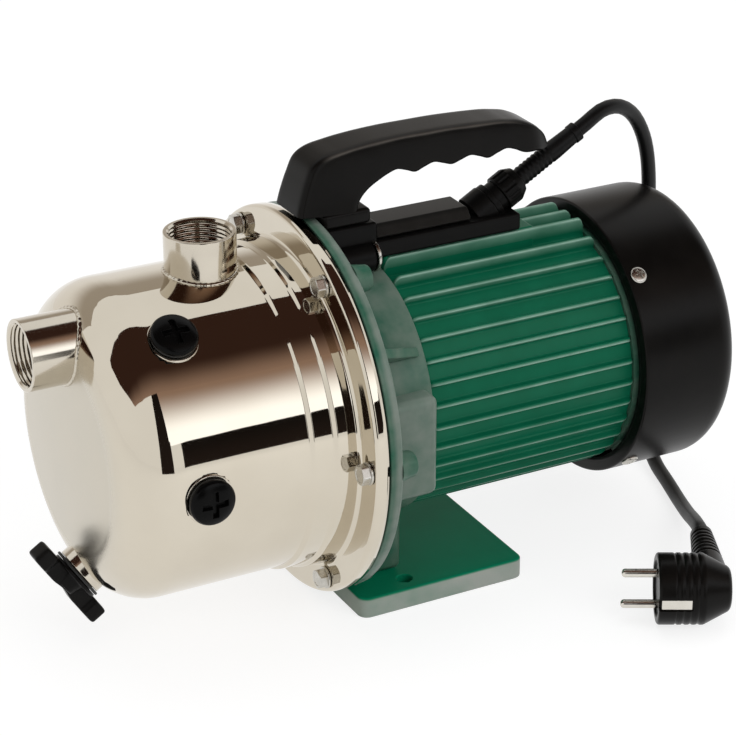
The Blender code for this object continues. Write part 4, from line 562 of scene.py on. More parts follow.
def tube(path: Array, out: Array, up: Array, radius: Array, columns: int = 12) -> Array:
    """Carry a circle along a closed path.

    Point (i, j) is path i plus radius i times (cos t out i + sin t up i).

    Args:
        path: the path's points, (n, 3).
        out: the circle's first direction at each.
        up: its second direction at each.
        radius: its radius at each.
        columns: points round the circle.

    Returns:
        The grid, (n, columns, 3).
    """
    angle = np.linspace(0.0, FULL_TURN, columns, endpoint=False)[None, :, None]
    ring = np.cos(angle) * out[:, None] + np.sin(angle) * up[:, None]
    return path[:, None] + radius[:, None, None] * ring


def thread(pitch: float, depth: float, start: float, end: float) -> Field:
    """Give a screw thread's ripple: a round-topped wave in height / pitch - turn, faded in at both ends.

    Args:
        pitch: the thread's pitch.
        depth: what its crest adds.
        start: where it starts.
        end: where it ends.

    Returns:
        The ripple of (angle, height).
    """

    def ripple(angle: Array, height: Array) -> Array:
        """Give what the thread adds to the radius."""
        wave = 0.5 - 0.5 * np.cos(FULL_TURN * height / pitch - angle)
        fade = soft_step(height, start, start + pitch / 2) * (1.0 - soft_step(height, end - pitch / 2, end))
        return depth * wave ** 0.8 * fade

    return ripple


def cross_recess(grid: Array, rows: slice, reach: float, width: float, depth: float, soft: float) -> Array:
    """Sink a cross into some rows of a grid: the height falls by depth where the cross covers it.

    Args:
        grid: the grid to change.
        rows: the rows of its top face.
        reach: half the cross's length.
        width: half its arms' width.
        depth: its depth.
        soft: the width of its sloping sides.

    Returns:
        The grid.
    """
    x, y = np.abs(grid[rows, :, 0]), np.abs(grid[rows, :, 1])
    outside = np.minimum(np.maximum(x - reach, y - width), np.maximum(y - reach, x - width))
    grid[rows, :, 2] -= depth * (1.0 - soft_step(outside, -soft, soft))
    return grid


class Mould:
    """Gathers grids of points and casts them as one piece."""

    def __init__(self) -> None:
        """Start empty."""
        self.points: list[Array] = []
        self.faces: list[Array] = []
        self.edges: list[Array] = []
        self.count = 0

    def add(self, grid: Array, frame: Array = PUMP_FRAME, around: bool = True, closed: bool = False,
            edge: Array | None = None) -> "Mould":
        """Add one grid.

        Args:
            grid: the points, (rows, columns, 3), in the frame.
            frame: the grid's placing.
            around: whether the last column joins the first.
            closed: whether the last row joins the first.
            edge: each point's share of the marked tone: satin on the casing front, painted highlights and
                painted reflections elsewhere.

        Returns:
            The mould.
        """
        rows, columns = grid.shape[:2]
        row = np.arange(rows if closed else rows - 1)[:, None]
        column = np.arange(columns if around else columns - 1)[None, :]
        next_row, next_column = (row + 1) % rows, (column + 1) % columns
        corners = [row * columns + column, row * columns + next_column, next_row * columns + next_column,
                   next_row * columns + column]
        self.faces.append(np.stack(corners, -1).reshape(-1, 4) + self.count)
        self.points.append(grid.reshape(-1, 3) @ frame[:3, :3].T + frame[:3, 3])
        sheen_and_satin_share = 0.0 if edge is None else edge
        self.edges.append(np.broadcast_to(sheen_and_satin_share, (rows, columns)).ravel())
        self.count += rows * columns
        return self

    def cast(self, name: str, finish: Finish, slot: Slot, body: Body = Body.PUMP,
             stands_for: Sequence[str] = (), sharp: float = 38.0, wall: float = 0.0, flats: bool = False,
             keep: Callable[[Array], Array] | None = None) -> Piece:
        """Make the piece, dress it and let it ride.

        Args:
            name: the piece's name.
            finish: its finish.
            slot: the record's slot for it; not used.
            body: the body it rides on.
            stands_for: the CAD nodes it replaces.
            sharp: the angle in degrees over which an edge stays sharp.
            wall: the wall to give an open sheet, inwards.
            flats: whether its large flat faces set the shading.
            keep: tells from face middles, in the pump frame, which faces stay.

        Returns:
            The piece.
        """
        points, faces = np.concatenate(self.points), np.concatenate(self.faces)
        if keep is not None:
            faces = faces[keep(points[faces].mean(1) - ROW_OFFSET)]
        mesh = bpy.data.meshes.new(name)
        mesh.from_pydata(points.tolist(), [], faces.tolist())
        # The "edge" attribute holds each point's share of the marked tone: satin on the casing front, painted
        # highlights and painted reflections elsewhere.
        mesh.attributes.new("edge", "FLOAT", "POINT").data.foreach_set("value", np.concatenate(self.edges))
        work = bmesh.new()
        work.from_mesh(mesh)
        bmesh.ops.remove_doubles(work, verts=work.verts, dist=MERGE)
        bmesh.ops.delete(work, geom=[v for v in work.verts if not v.link_faces], context="VERTS")
        bmesh.ops.recalc_face_normals(work, faces=work.faces)
        work.to_mesh(mesh)
        work.free()
        mesh.shade_smooth()
        mesh.set_sharp_from_angle(angle=math.radians(sharp))
        piece = bpy.data.objects.new(name, mesh)
        bpy.context.scene.collection.objects.link(piece)
        if wall:
            shell = piece.modifiers.new("wall", "SOLIDIFY")
            shell.thickness = wall
            shell.offset = -1.0
        if flats:
            weighted = piece.modifiers.new("flats", "WEIGHTED_NORMAL")
            weighted.keep_sharp = True
        return settle(piece, finish, body, stands_for)


def settle(piece: Piece, finish: Finish, body: Body,
           stands_for: Sequence[str]) -> Piece:
    """Dress a piece, let it ride on its body and report it.

    Args:
        piece: the piece.
        finish: its finish.
        body: the body it rides on.
        stands_for: the CAD nodes it replaces.

    Returns:
        The piece.
    """
    piece.data.materials.append(finish.material())
    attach(piece, body.value)
    if stands_for:
        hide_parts(*stands_for)
    LOG.info("piece %s, %s, on %s", piece.name, finish.name, body.value)
    return piece


# --- pump end


@dataclass
class PipeSocket:
    """A one inch pipe socket with an inner thread, welded into the casing."""

    name: str
    node: str
    origin: Point
    along: Point
    up: Point
    inner: float
    tip: float
    outside: float = 0.0190
    bore: float = 0.0160
    pitch: float = 0.002309
    thread_depth: float = 0.0008
    thread_length: float = 0.0185
    chamfer: float = 0.0011
    bead: float = 0.0013
    lip_round: float = 0.0005
    bore_round: float = 0.0003
    spacing: float = 0.0002
    columns: int = 96
    bead_points: int = 160
    drops: int = 40
    drop_swell: float = 0.10

    def frame(self) -> Array:
        """Give the socket's placing, with Z out of the casing."""
        return frame_at(self.origin, self.along, self.up)

    def body(self) -> Array:
        """Turn the socket: outer wall, rounded lip, chamfer, threaded bore; the line closes on itself.

        Returns:
            The grid.
        """
        top, bottom = self.tip, -self.inner
        lip = rounded([
            (self.outside, bottom), (self.outside, top, self.lip_round),
            (self.bore + self.chamfer, top, self.bore_round), (self.bore, top - self.chamfer),
            (self.bore, top - self.thread_length)], 4)
        end = [(self.bore, top - self.thread_length), (self.bore, bottom)]
        line = np.concatenate([refined(lip, self.spacing)[:-1], end])
        outer = line[:, 0] > self.bore + TINY
        ridge = thread(self.pitch, self.thread_depth, top - self.thread_length, top - self.chamfer)

        def ripple(angle: Array, height: Array) -> Array:
            """Cut the thread into the bore's rows only."""
            return np.where(outer[:, None], 0.0, ridge(angle, height))

        return turned(line, self.columns, ripple)

    def seam(self, surface: Field) -> Array:
        """Lay a weld bead where the socket meets the casing.

        The bead is a circle carried round the socket at the casing's height, its radius swelling and
        shrinking with each drop of weld.

        Args:
            surface: gives the casing's height over (x, y) in the socket's frame.

        Returns:
            The bead's grid.
        """
        turn = np.linspace(0.0, FULL_TURN, self.bead_points, endpoint=False)
        out = np.stack([np.cos(turn), np.sin(turn), 0.0 * turn], 1)
        path = out * self.outside
        path[:, 2] = surface(path[:, 0], path[:, 1])
        up = np.repeat([(0.0, 0.0, 1.0)], len(turn), 0)
        return tube(path, out, up, self.bead * (1.0 + self.drop_swell * np.sin(self.drops * turn)))

    def build(self, surface: Field) -> list[Piece]:
        """Make the socket and its weld bead.

        Args:
            surface: the casing's height over (x, y).

        Returns:
            The pieces made.
        """
        socket = Mould().add(self.body(), self.frame(), closed=True)
        bead = Mould().add(self.seam(surface), self.frame(), closed=True)
        return [
            socket.cast(self.name, TURNED_STEEL, Slot.STAINLESS, stands_for=[self.node]),
            bead.cast(f"{self.name}_weld", WELDED_STEEL, Slot.STAINLESS),
        ]


@dataclass
class Casing:
    """The deep drawn stainless casing with its flange, two sockets and the seats of the plugs."""

    radius: float = CASING_RADIUS
    front: float = -0.1280
    wall: float = 0.0018
    corner: float = 0.0300
    dome: float = 0.0030
    flange: float = 0.1065
    flange_face: float = -0.0030
    rim: float = 0.0040
    step: float = 0.0018
    suction_height: float = 0.0578
    riser: float = -0.0496
    plug_angles: Pair = (FILL_ANGLE, GAUGE_ANGLE)
    socket_opening: float = 0.0174
    drain_opening: float = 0.0124
    plug_opening: float = 0.0112
    steps_x: Pair = (-0.0155, -0.0280)
    step_round: float = 0.0011
    flange_round: float = 0.0024
    flange_root: float = 0.0026
    satin_span: Pair = (-0.002, 0.016)
    suction_x: float = -0.09
    suction_ends: Pair = (0.0180, 0.0225)
    discharge_ends: Pair = (0.0100, 0.0210)
    seat_bore: float = 0.0098
    seat_top: float = -0.0001
    seat_rim: Pair = (0.0132, 0.0136)
    seat_shoulder: float = -0.0022
    seat_end: float = -0.0085
    columns: int = 224
    spacing: float = 0.0021
    cap_rows: int = 30

    def line(self) -> Array:
        """Give the sheet's outside as (radius, x): rim, flange, two steps, side, round corner, dome.

        Returns:
            The line's points.
        """
        low, middle = self.radius + 2 * self.step, self.radius + self.step
        first, second = self.steps_x
        soft = self.step_round
        flat = self.radius - self.corner
        side = rounded([
            (self.flange, self.rim), (self.flange, self.flange_face, self.flange_round),
            (low, self.flange_face, self.flange_root), (low, first, soft), (middle, first - self.step, soft),
            (middle, second, soft), (self.radius, second - self.step, soft),
            (self.radius, self.front, self.corner), (flat - TINY, self.front)], 14)
        share = np.linspace(1.0, 0.0, self.cap_rows)[1:]
        cap = np.stack([flat * share, self.front - self.dome * (1.0 - share ** 2)], 1)
        return refined(np.concatenate([side, cap]), self.spacing)

    def satin(self) -> Array:
        """Give each row's share of satin: the front is brushed, its round corner runs over into polish."""
        reach, x = self.line().T
        start, end = (self.radius - self.corner + offset for offset in self.satin_span)
        return ((1.0 - soft_step(reach, start, end)) * (x < self.front + self.corner))[:, None]

    def keep(self, middle: Array) -> Array:
        """Tell which faces lie outside the sockets, the drain and the plugs' seats.

        Args:
            middle: the faces' middles.

        Returns:
            A mask of the faces that stay.
        """
        x, y, z = middle.T
        open_front = (np.hypot(y, z - self.suction_height) < self.socket_opening) & (x < self.suction_x)
        open_top = (np.hypot(x - self.riser, y) < self.socket_opening) & (z > 0.0)
        gone = open_front | open_top | self.near(middle, DRAIN_AT, DRAIN_OUT, self.drain_opening)
        for angle in self.plug_angles:
            gone |= self.near(middle, self.plug_place(angle), self.side(angle), self.plug_opening)
        return ~gone

    @staticmethod
    def near(middle: Array, origin: Sequence[float], out: Sequence[float], radius: float,
             depth: float = 0.03) -> Array:
        """Tell which points lie within a radius of the line that leaves origin outwards.

        Args:
            middle: the points.
            origin: where the line starts.
            out: its direction.
            radius: the reach beside it.
            depth: the reach along it.

        Returns:
            A mask of the points.
        """
        away = middle - np.asarray(origin)
        along = away @ np.asarray(out)
        aside = np.linalg.norm(away - along[:, None] * np.asarray(out), axis=1)
        return (aside < radius) & (np.abs(along) < depth)

    @staticmethod
    def side(angle: float) -> Array:
        """Give the direction out of the casing's side at an angle above the level."""
        turn = math.radians(angle)
        return np.array((0.0, -math.cos(turn), math.sin(turn)))

    @classmethod
    def plug_place(cls, angle: float) -> Point:
        """Give the place on the casing's side where a plug at an angle sits."""
        return (PLUG_X, *(CASING_RADIUS * cls.side(angle)[1:]))

    def front_surface(self, x: Array, y: Array) -> Array:
        """Give how far the front's dome and round corner stand out, over the suction socket.

        Args:
            x: places across.
            y: places up.

        Returns:
            The heights.
        """
        reach = np.hypot(x, y + self.suction_height)
        flat = self.radius - self.corner
        bend = np.clip(reach - flat, 0.0, self.corner)
        drop = self.corner - np.sqrt(self.corner ** 2 - bend ** 2)
        return np.where(reach < flat, self.dome * (1.0 - (reach / flat) ** 2), -drop)

    def top_surface(self, x: Array, y: Array) -> Array:
        """Give the side's height over the discharge socket, whose local X or Y runs along the shaft."""
        return np.sqrt(self.radius ** 2 - x ** 2) - self.radius

    def seat(self) -> Array:
        """Turn a plug's flat seat: a ring with a threaded bore, just under its seal.

        Returns:
            The grid.
        """
        bore, top, end = self.seat_bore, self.seat_top, self.seat_end
        crest, outer = self.seat_rim
        line = rounded([(bore, end), (bore, top), (crest, top, 0.0006), (outer, self.seat_shoulder),
                        (outer, end), (bore, end)], 4)
        return turned(refined(line, 0.0004), 72, thread(PLUG_PITCH, 0.0003, end + 0.0005, top - 0.0005))

    def build(self) -> list[Piece]:
        """Make the sheet, the plugs' seats and both sockets.

        Returns:
            The pieces made.
        """
        sheet = Mould().add(turned(self.line(), self.columns), SHAFT_FRAME, edge=self.satin())
        made = [sheet.cast("casing_sheet", MIRROR_STEEL, Slot.STAINLESS, stands_for=["pump_casing"],
                           wall=self.wall, keep=self.keep, sharp=60.0)]
        seats = Mould()
        for angle in self.plug_angles:
            frame = frame_at(self.plug_place(angle), self.side(angle), (1, 0, 0))
            seats.add(self.seat(), frame, closed=True)
        made.append(seats.cast("casing_plug_seats", TURNED_STEEL, Slot.STAINLESS))
        suction = PipeSocket("suction_socket", "suction_port", (self.front, 0.0, self.suction_height),
                             (-1, 0, 0), (0, 0, 1), *self.suction_ends)
        discharge = PipeSocket("discharge_socket", "discharge_port", (self.riser, 0.0, self.radius),
                               (0, 0, 1), (1, 0, 0), *self.discharge_ends)
        return made + suction.build(self.front_surface) + discharge.build(self.top_surface)


@dataclass
class ScrewPlug:
    """A black screw plug on the casing's side, with a crowned head, a cross recess and a sealing ring."""

    name: str
    angle: float
    screw: Body
    ring: Body
    head: float = 0.0123
    underside: float = 0.0022
    top: float = 0.0075
    shank: float = 0.0095
    shank_end: float = -0.0085
    crown: Pair = (0.93, 0.50)
    rim: float = 0.66
    thread_depth: float = 0.0004
    thread_inside: float = 0.009
    cross: tuple[float, float, float, float] = (0.0068, 0.0014, 0.0024, 0.0004)
    washer_radii: Pair = (0.0101, 0.0118)
    washer_z: Pair = (0.0003, 0.0019)
    washer_round: float = 0.0005
    columns: int = 168

    def frame(self) -> Array:
        """Give the plug's placing, with Z out of the casing."""
        return frame_at(Casing.plug_place(self.angle), Casing.side(self.angle), (1, 0, 0))

    def stopper(self) -> Array:
        """Turn the plug: a crown that falls with the cube of the radius, a rounded rim, a threaded shank.

        Returns:
            The grid.
        """
        height = self.top - self.underside
        reach, fall = self.crown
        share = np.linspace(0.0, reach, 46)
        crown = np.stack([self.head * share, self.top - height * fall * share ** 3], 1)
        edge = rounded([
            (self.head * reach, crown[-1, 1]), (self.head, self.top - height * self.rim, 0.0012),
            (self.head, self.underside, 0.0006), (self.shank, self.underside),
            (self.shank, self.shank_end, 0.0008), (0.0, self.shank_end)], 5)
        line = np.concatenate([crown, refined(edge, 0.0004)[1:]])
        screw = thread(PLUG_PITCH, -self.thread_depth, self.shank_end + 0.0008, self.underside - 0.0006)
        plain = (line[:, :1] < self.thread_inside) | (line[:, 1:] > self.underside - self.thread_depth)

        def ripple(angle: Array, level: Array) -> Array:
            """Cut the thread into the shank's rows only."""
            return np.where(plain, 0.0, screw(angle, level))

        return cross_recess(turned(line, self.columns, ripple), slice(0, len(crown)), *self.cross)

    def washer(self) -> Array:
        """Turn the rubber ring under the head: a ring with well rounded edges."""
        return turned(ring_line(self.washer_radii, self.washer_z, self.washer_round, self.washer_round), 72)

    def build(self) -> list[Piece]:
        """Make the plug and its ring.

        Returns:
            The pieces made.
        """
        stopper = Mould().add(self.stopper(), self.frame())
        washer = Mould().add(self.washer(), self.frame(), closed=True)
        return [
            stopper.cast(f"{self.name}_stopper", GLOSS_BLACK, Slot.BLACK, self.screw, [self.name]),
            washer.cast(f"{self.name}_ring", SEAL_RUBBER, Slot.RUBBER, self.ring, [f"{self.name}_seal"]),
        ]


@dataclass
class DrainPlug:
    """The black wing plug in the casing's lower front, with its threaded bush and gasket."""

    wing_axis: Point = (-0.544639, 0.0, 0.838671)
    bush: Pair = (0.0108, 0.0140)
    bush_z: Pair = (-0.0090, 0.0025)
    gasket: Pair = (0.0108, 0.0152)
    gasket_z: Pair = (0.0028, 0.0043)
    flange: float = 0.0145
    flange_height: Pair = (0.0046, 0.0066)
    hub: Pair = (0.0062, 0.0082)
    hub_top: float = 0.0138
    shank: float = 0.0105
    shank_end: float = -0.0049
    wing_length: float = 0.0560
    wing_height: Pair = (0.0056, 0.0156)
    waist: float = 0.0076
    lobe: float = 0.0120
    swell: Pair = (0.56, 0.68)
    dip: float = 0.0011
    dip_end: float = 0.35
    squareness: float = 9.0
    columns: int = 96

    def frame(self) -> Array:
        """Give the plug's placing: Z outwards, Y along the wing."""
        return frame_at(DRAIN_AT, DRAIN_OUT, self.wing_axis)

    def collar(self) -> Array:
        """Turn the bush: a plain ring that stands a little above the sheet."""
        (inner, outer), (low, high) = self.bush, self.bush_z
        line = rounded([
            (inner, low), (inner, high, 0.0003), (outer, high, 0.0004), (outer, low), (inner, low)], 3)
        return turned(refined(line, 0.0004)[:-1], self.columns)

    def seal(self) -> Array:
        """Turn the gasket: a flat ring with round edges."""
        return turned(ring_line(self.gasket, self.gasket_z, 0.0006, 0.0004), self.columns)

    def stopper(self) -> Array:
        """Turn the plug's flange, hub and shank.

        Returns:
            The grid.
        """
        low, high = self.flange_height
        crown, root = self.hub
        line = rounded([
            (0.0, self.hub_top), (crown, self.hub_top, 0.001), (root, high, 0.0012),
            (self.flange, high, 0.0006), (self.flange, low, 0.0005), (self.shank, low),
            (self.shank, self.shank_end, 0.0008), (0.0, self.shank_end)], 5)
        return turned(refined(line, 0.0005), self.columns)

    def wing(self) -> Array:
        """Loft the wing: a rounded square section along the bar, wide at the lobes and slim at the waist.

        Half width is waist plus the lobe's share, which rises smoothly past the middle of each half; the
        section closes at both ends as a superellipse, and the top dips in the bar's middle.

        Returns:
            The wing's grid.
        """
        run = np.sin(np.linspace(-1.0, 1.0, 120) * math.pi / 2)
        end = (1.0 - np.abs(run) ** 24) ** (1.0 / 6.0)
        swell = soft_step(np.abs(run), *self.swell)
        half = (self.waist + (self.lobe - self.waist) * swell) / 2 * end
        low, high = self.wing_height
        rise = (high - low) / 2 * end
        across, up = bulged(np.linspace(0.0, FULL_TURN, 64, endpoint=False), self.squareness)
        drop = self.dip * soft_step(np.abs(run), self.dip_end, 0.0)[:, None] * (up > 0)
        return np.stack([half[:, None] * across, (run * self.wing_length / 2)[:, None] + 0.0 * across,
                         (low + high) / 2 + rise[:, None] * up - drop], -1)

    def build(self) -> list[Piece]:
        """Make the bush, the gasket and the wing plug.

        Returns:
            The pieces made.
        """
        frame = self.frame()
        return [
            Mould().add(self.collar(), frame, closed=True).cast(
                "drain_collar", TURNED_STEEL, Slot.STAINLESS, stands_for=["drain_bush"]),
            Mould().add(self.seal(), frame, closed=True).cast(
                "drain_ring", SEAL_RUBBER, Slot.RUBBER, Body.DRAIN_SEAL, ["drain_gasket"]),
            Mould().add(self.stopper(), frame).add(self.wing(), frame).cast(
                "drain_wing_plug", SATIN_BLACK, Slot.BLACK, Body.DRAIN_SCREW, ["drain_plug"]),
        ]


@dataclass
class FlangeBolts:
    """The six hexagon bolts round the flange."""

    seat: float = 0.0033
    washer: float = 0.0061
    washer_top: float = 0.0045
    head: float = 0.0057
    head_top: float = 0.0090
    shank: float = 0.0030
    shank_end: float = -0.0127
    blunt: float = 0.985
    crown: float = 0.96
    slope: float = 0.50
    dish: Pair = (0.80, 0.74)
    dish_depth: float = 0.00025

    def hexagon(self) -> Array:
        """Make the head: a hexagon with softened corners, cut by a shallow cone at its top.

        The outline's radius is the flat's distance over the cosine of the angle from the flat's middle,
        held a little under the corner.

        Returns:
            The head's grid.
        """
        turn = np.linspace(0.0, FULL_TURN, 96, endpoint=False)
        flat = self.head * math.cos(math.pi / 6)
        off_middle = (turn + math.pi / 6) % (math.pi / 3) - math.pi / 6
        outline = np.minimum(flat / np.cos(off_middle), self.head * self.blunt)
        crown = flat * self.crown
        edge = self.head_top - (outline - crown) * self.slope
        sunk = self.head_top - self.dish_depth
        rows = [(0.0, self.washer_top), (outline, self.washer_top), (outline, edge), (crown, self.head_top),
                (crown * self.dish[0], self.head_top), (crown * self.dish[1], sunk), (0.0, sunk)]
        return np.stack([np.stack([r * np.cos(turn), r * np.sin(turn), z + 0.0 * turn], -1) for r, z in rows])

    def stem(self) -> Array:
        """Turn the washer and the shank below it.

        Returns:
            The grid.
        """
        line = rounded([
            (0.0, self.washer_top), (self.washer, self.washer_top, 0.0003), (self.washer, self.seat, 0.0003),
            (self.shank, self.seat), (self.shank, self.shank_end), (0.0, self.shank_end)], 3)
        return turned(line, 48)

    def build(self) -> list[Piece]:
        """Make one piece for each bolt.

        Returns:
            The pieces made.
        """
        made = []
        for number in range(BOLT_COUNT):
            out = Casing.side(BOLT_PITCH * number)
            lean = out + (0, 0.1 * number, 0.05)
            frame = frame_at((0.0, *(BOLT_CIRCLE * out[1:])), (-1, 0, 0), lean)
            mould = Mould().add(self.hexagon(), frame).add(self.stem(), frame)
            made.append(mould.cast(f"flange_bolt_head_{number + 1}", ZINC_PLATE, Slot.ZINC,
                                   stands_for=[f"flange_bolt_{number + 1}"], sharp=25.0))
        return made


# --- motor end


@dataclass
class MotorBracket:
    """The cast bracket between casing and motor, with bolt bosses, webs and a pedestal."""

    flange: float = 0.1058
    flange_x: Pair = (0.0056, 0.0130)
    neck: float = 0.0720
    neck_end: float = 0.0500
    hollow: float = 0.0655
    plate_back: float = 0.0165
    hub: float = 0.0200
    boss: float = 0.0078
    boss_end: float = 0.0225
    boss_top: float = 0.86
    boss_flare: float = 0.0006
    web: float = 0.0026
    web_reach: Pair = (0.0700, 0.1000)
    web_angles: tuple[float, ...] = (35.0, 82.0, 98.0, 145.0)
    web_fall: float = 0.88
    fillet: float = 0.0800
    lug_x: Pair = (0.0120, 0.0480)
    lug_y: Pair = (0.0600, 0.0800)
    lug_z: Pair = (-0.0330, 0.0240)
    lug_sheen: float = 0.6
    rim_sheen: float = 0.70
    belt_sheen: float = 0.25
    pedestal_half: float = 0.0360
    pedestal_x: Pair = (0.0090, 0.0500)
    pedestal_z: Pair = (-0.0997, -0.0600)

    def ring(self) -> Array:
        """Turn flange, fillet and neck; the line closes through the hollow neck.

        Returns:
            The grid.
        """
        front, back = self.flange_x
        line = rounded([
            (self.hub, front), (self.flange, front, 0.0008), (self.flange, back, 0.0018),
            (self.fillet, back, 0.0050), (self.neck + 0.0012, back + 0.0140, 0.0080),
            (self.neck, self.neck_end, 0.0010),
            (self.hollow, self.neck_end), (self.hollow, self.plate_back, 0.0030), (self.hub, self.plate_back),
            (self.hub, front)], 6)
        return turned(refined(line, 0.0025)[:-1], 192)

    def painted_sheen(self, grid: Array) -> Array:
        """Give the ring's painted sheen: a paler grey tone standing in for reflections on the flange's rim
        and back, and on a broad belt of the neck.

        Args:
            grid: the ring's grid.

        Returns:
            The painted sheen of each point.
        """
        reach = np.hypot(grid[..., 0], grid[..., 1])
        back = (grid[..., 2] > self.flange_x[0] + 0.004) * soft_step(reach, 0.088, 0.098)
        belt = soft_step(grid[..., 2], 0.024, 0.032) * (reach > self.neck - 0.001)
        return self.rim_sheen * back + self.belt_sheen * belt

    def bosses(self, mould: Mould) -> None:
        """Add a domed boss behind each bolt.

        Args:
            mould: takes the bosses.
        """
        back = self.flange_x[1]
        line = rounded([
            (0.0, self.boss_end), (self.boss * self.boss_top, self.boss_end, 0.0016),
            (self.boss, back + 0.002, 0.001), (self.boss + self.boss_flare, back - 0.0005),
            (0.0, back - 0.0005)], 5)
        for number in range(BOLT_COUNT):
            out = Casing.side(BOLT_PITCH * number)
            mould.add(turned(line, 40), frame_at((0.0, *(BOLT_CIRCLE * out[1:])), (1, 0, 0), out))

    def webs(self, mould: Mould) -> None:
        """Add webs from flange to neck: rounded boxes whose height falls as a power towards the motor.

        Args:
            mould: takes the webs.
        """
        start, end = self.flange_x[1] - 0.002, self.neck_end - 0.004
        near, far = self.web_reach
        for angle in self.web_angles:
            grid = block((-self.web, near, start), (self.web, far, end), 0.0012)
            fall = np.clip((grid[..., 2] - start) / (end - start), 0.0, 1.0)
            grid[..., 1] = near + (grid[..., 1] - near) * (1.0 - self.web_fall * fall ** 0.8)
            mould.add(grid, frame_at((0, 0, 0), (1, 0, 0), Casing.side(angle)))

    def pedestal(self, mould: Mould) -> None:
        """Add the pedestal: a rounded box between the neck and the foot plate."""
        (start, end), (low, high), half = self.pedestal_x, self.pedestal_z, self.pedestal_half
        mould.add(block((start, -half, low), (end, half, high), 0.0035, 6))

    def lugs(self, mould: Mould) -> None:
        """Add the flat lug on each side of the neck: a rounded box, made paler in patches by a painted grey
        sheen.

        Args:
            mould: takes the lugs.
        """
        for way in (-1.0, 1.0):
            near, far = sorted(way * reach for reach in self.lug_y)
            (start, end), (low, high) = self.lug_x, self.lug_z
            mould.add(block((start, near, low), (end, far, high), 0.0045, 6), edge=self.lug_sheen)

    def build(self) -> list[Piece]:
        """Make the bracket.

        Returns:
            The pieces made.
        """
        ring = self.ring()
        mould = Mould().add(ring, SHAFT_FRAME, closed=True, edge=self.painted_sheen(ring))
        self.bosses(mould)
        self.webs(mould)
        self.lugs(mould)
        self.pedestal(mould)
        return [mould.cast("bracket_casting", CAST_ENAMEL, Slot.GREEN, stands_for=["motor_bracket"],
                           flats=True)]


@dataclass
class FootPlate:
    """The flat foot plate with rounded corners and two bolt holes."""

    x: Pair = (0.0140, 0.1160)
    half: float = 0.0580
    z: Pair = (-0.1120, -0.1000)
    corner: float = 0.0060
    edge: float = 0.0016
    lower_edge: float = 0.0008
    hole: float = 0.0045
    hole_edge: float = 0.0004
    hole_x: float = 0.0460
    hole_y: float = 0.0470

    def lines(self) -> tuple[Array, Array]:
        """Give the stations along x and, from the middle line outwards, along y inside the round edge."""
        along = np.linspace(self.x[0] + self.corner, self.x[1] - self.corner, 15)
        return along, np.linspace(0.0, self.half - self.corner, 9)

    @staticmethod
    def level(outline: Array, height: float) -> Array:
        """Lift a flat outline to a height."""
        return np.concatenate([outline, np.full((len(outline), 1), height)], 1)

    def rim(self) -> tuple[Array, Array]:
        """Sweep the edge round the plate: an inner point plus a reach times the outward direction there.

        The inner points run along the four sides and stay at each corner while the direction turns.

        Returns:
            The grid and its share of painted reflection on the plate's sides.
        """
        low, high = self.z
        x_line, y_half = self.lines()
        y_line = np.concatenate([-y_half[:0:-1], y_half])
        right = np.stack([0.0 * y_line + x_line[-1], y_line], 1)
        top = np.stack([x_line[::-1], 0.0 * x_line + y_line[-1]], 1)
        middle = np.array(((self.x[0] + self.x[1]) / 2, 0.0))
        turn = np.linspace(0.0, math.pi / 2, 8)[1:-1]
        corners = [np.repeat(side[-1:], len(turn), 0) for side in (right, top)]
        inner = np.concatenate([right, corners[0], top, corners[1]])
        angle = np.concatenate([0.0 * y_line, turn, 0.0 * x_line + math.pi / 2, turn + math.pi / 2])
        inner = np.concatenate([inner, 2.0 * middle - inner])
        angle = np.concatenate([angle, angle + math.pi])
        way = np.stack([np.cos(angle), np.sin(angle)], 1)
        profile = rounded([
            (0.0, high), (self.corner, high, self.edge), (self.corner, low, self.lower_edge), (0.0, low)], 5)
        grid = np.stack([self.level(inner + reach * way, height) for reach, height in profile])
        # The sides below the top edge take a painted reflection of the pale floor.
        return grid, soft_step(high - grid[..., 2], 0.0006, 0.0016)

    def half_plate(self, way: float) -> Array:
        """Make one half's flat faces: rows run from the half's outline to its hole, down it and out again.

        Args:
            way: the half's side, -1 or 1.

        Returns:
            The grid.
        """
        low, high = self.z
        x_line, y_line = self.lines()
        outline = np.concatenate([
            np.stack([x_line[:-1], 0.0 * x_line[:-1]], 1),
            np.stack([0.0 * y_line[:-1] + x_line[-1], y_line[:-1]], 1),
            np.stack([x_line[:0:-1], 0.0 * x_line[:0:-1] + y_line[-1]], 1),
            np.stack([0.0 * y_line[:0:-1] + x_line[0], y_line[:0:-1]], 1)]) * (1.0, way)
        centre = np.array((self.hole_x, way * self.hole_y))
        out = (outline - centre) / np.linalg.norm(outline - centre, axis=1, keepdims=True)
        shut = self.hole_edge
        bore, mouth = centre + out * self.hole, centre + out * (self.hole + shut)
        rings = [(outline, high), (mouth, high), (bore, high - shut), (bore, low + shut), (mouth, low),
                 (outline, low)]
        return np.stack([self.level(ring, height) for ring, height in rings])

    def build(self) -> list[Piece]:
        """Make the plate: its round edge and both halves.

        Returns:
            The pieces made.
        """
        grid, sheen_and_satin = self.rim()
        mould = Mould().add(grid, edge=sheen_and_satin).add(self.half_plate(1.0)).add(self.half_plate(-1.0))
        return [mould.cast("foot_plate_casting", FOOT_ENAMEL, Slot.GREEN, stands_for=["foot_plate"],
                           flats=True)]


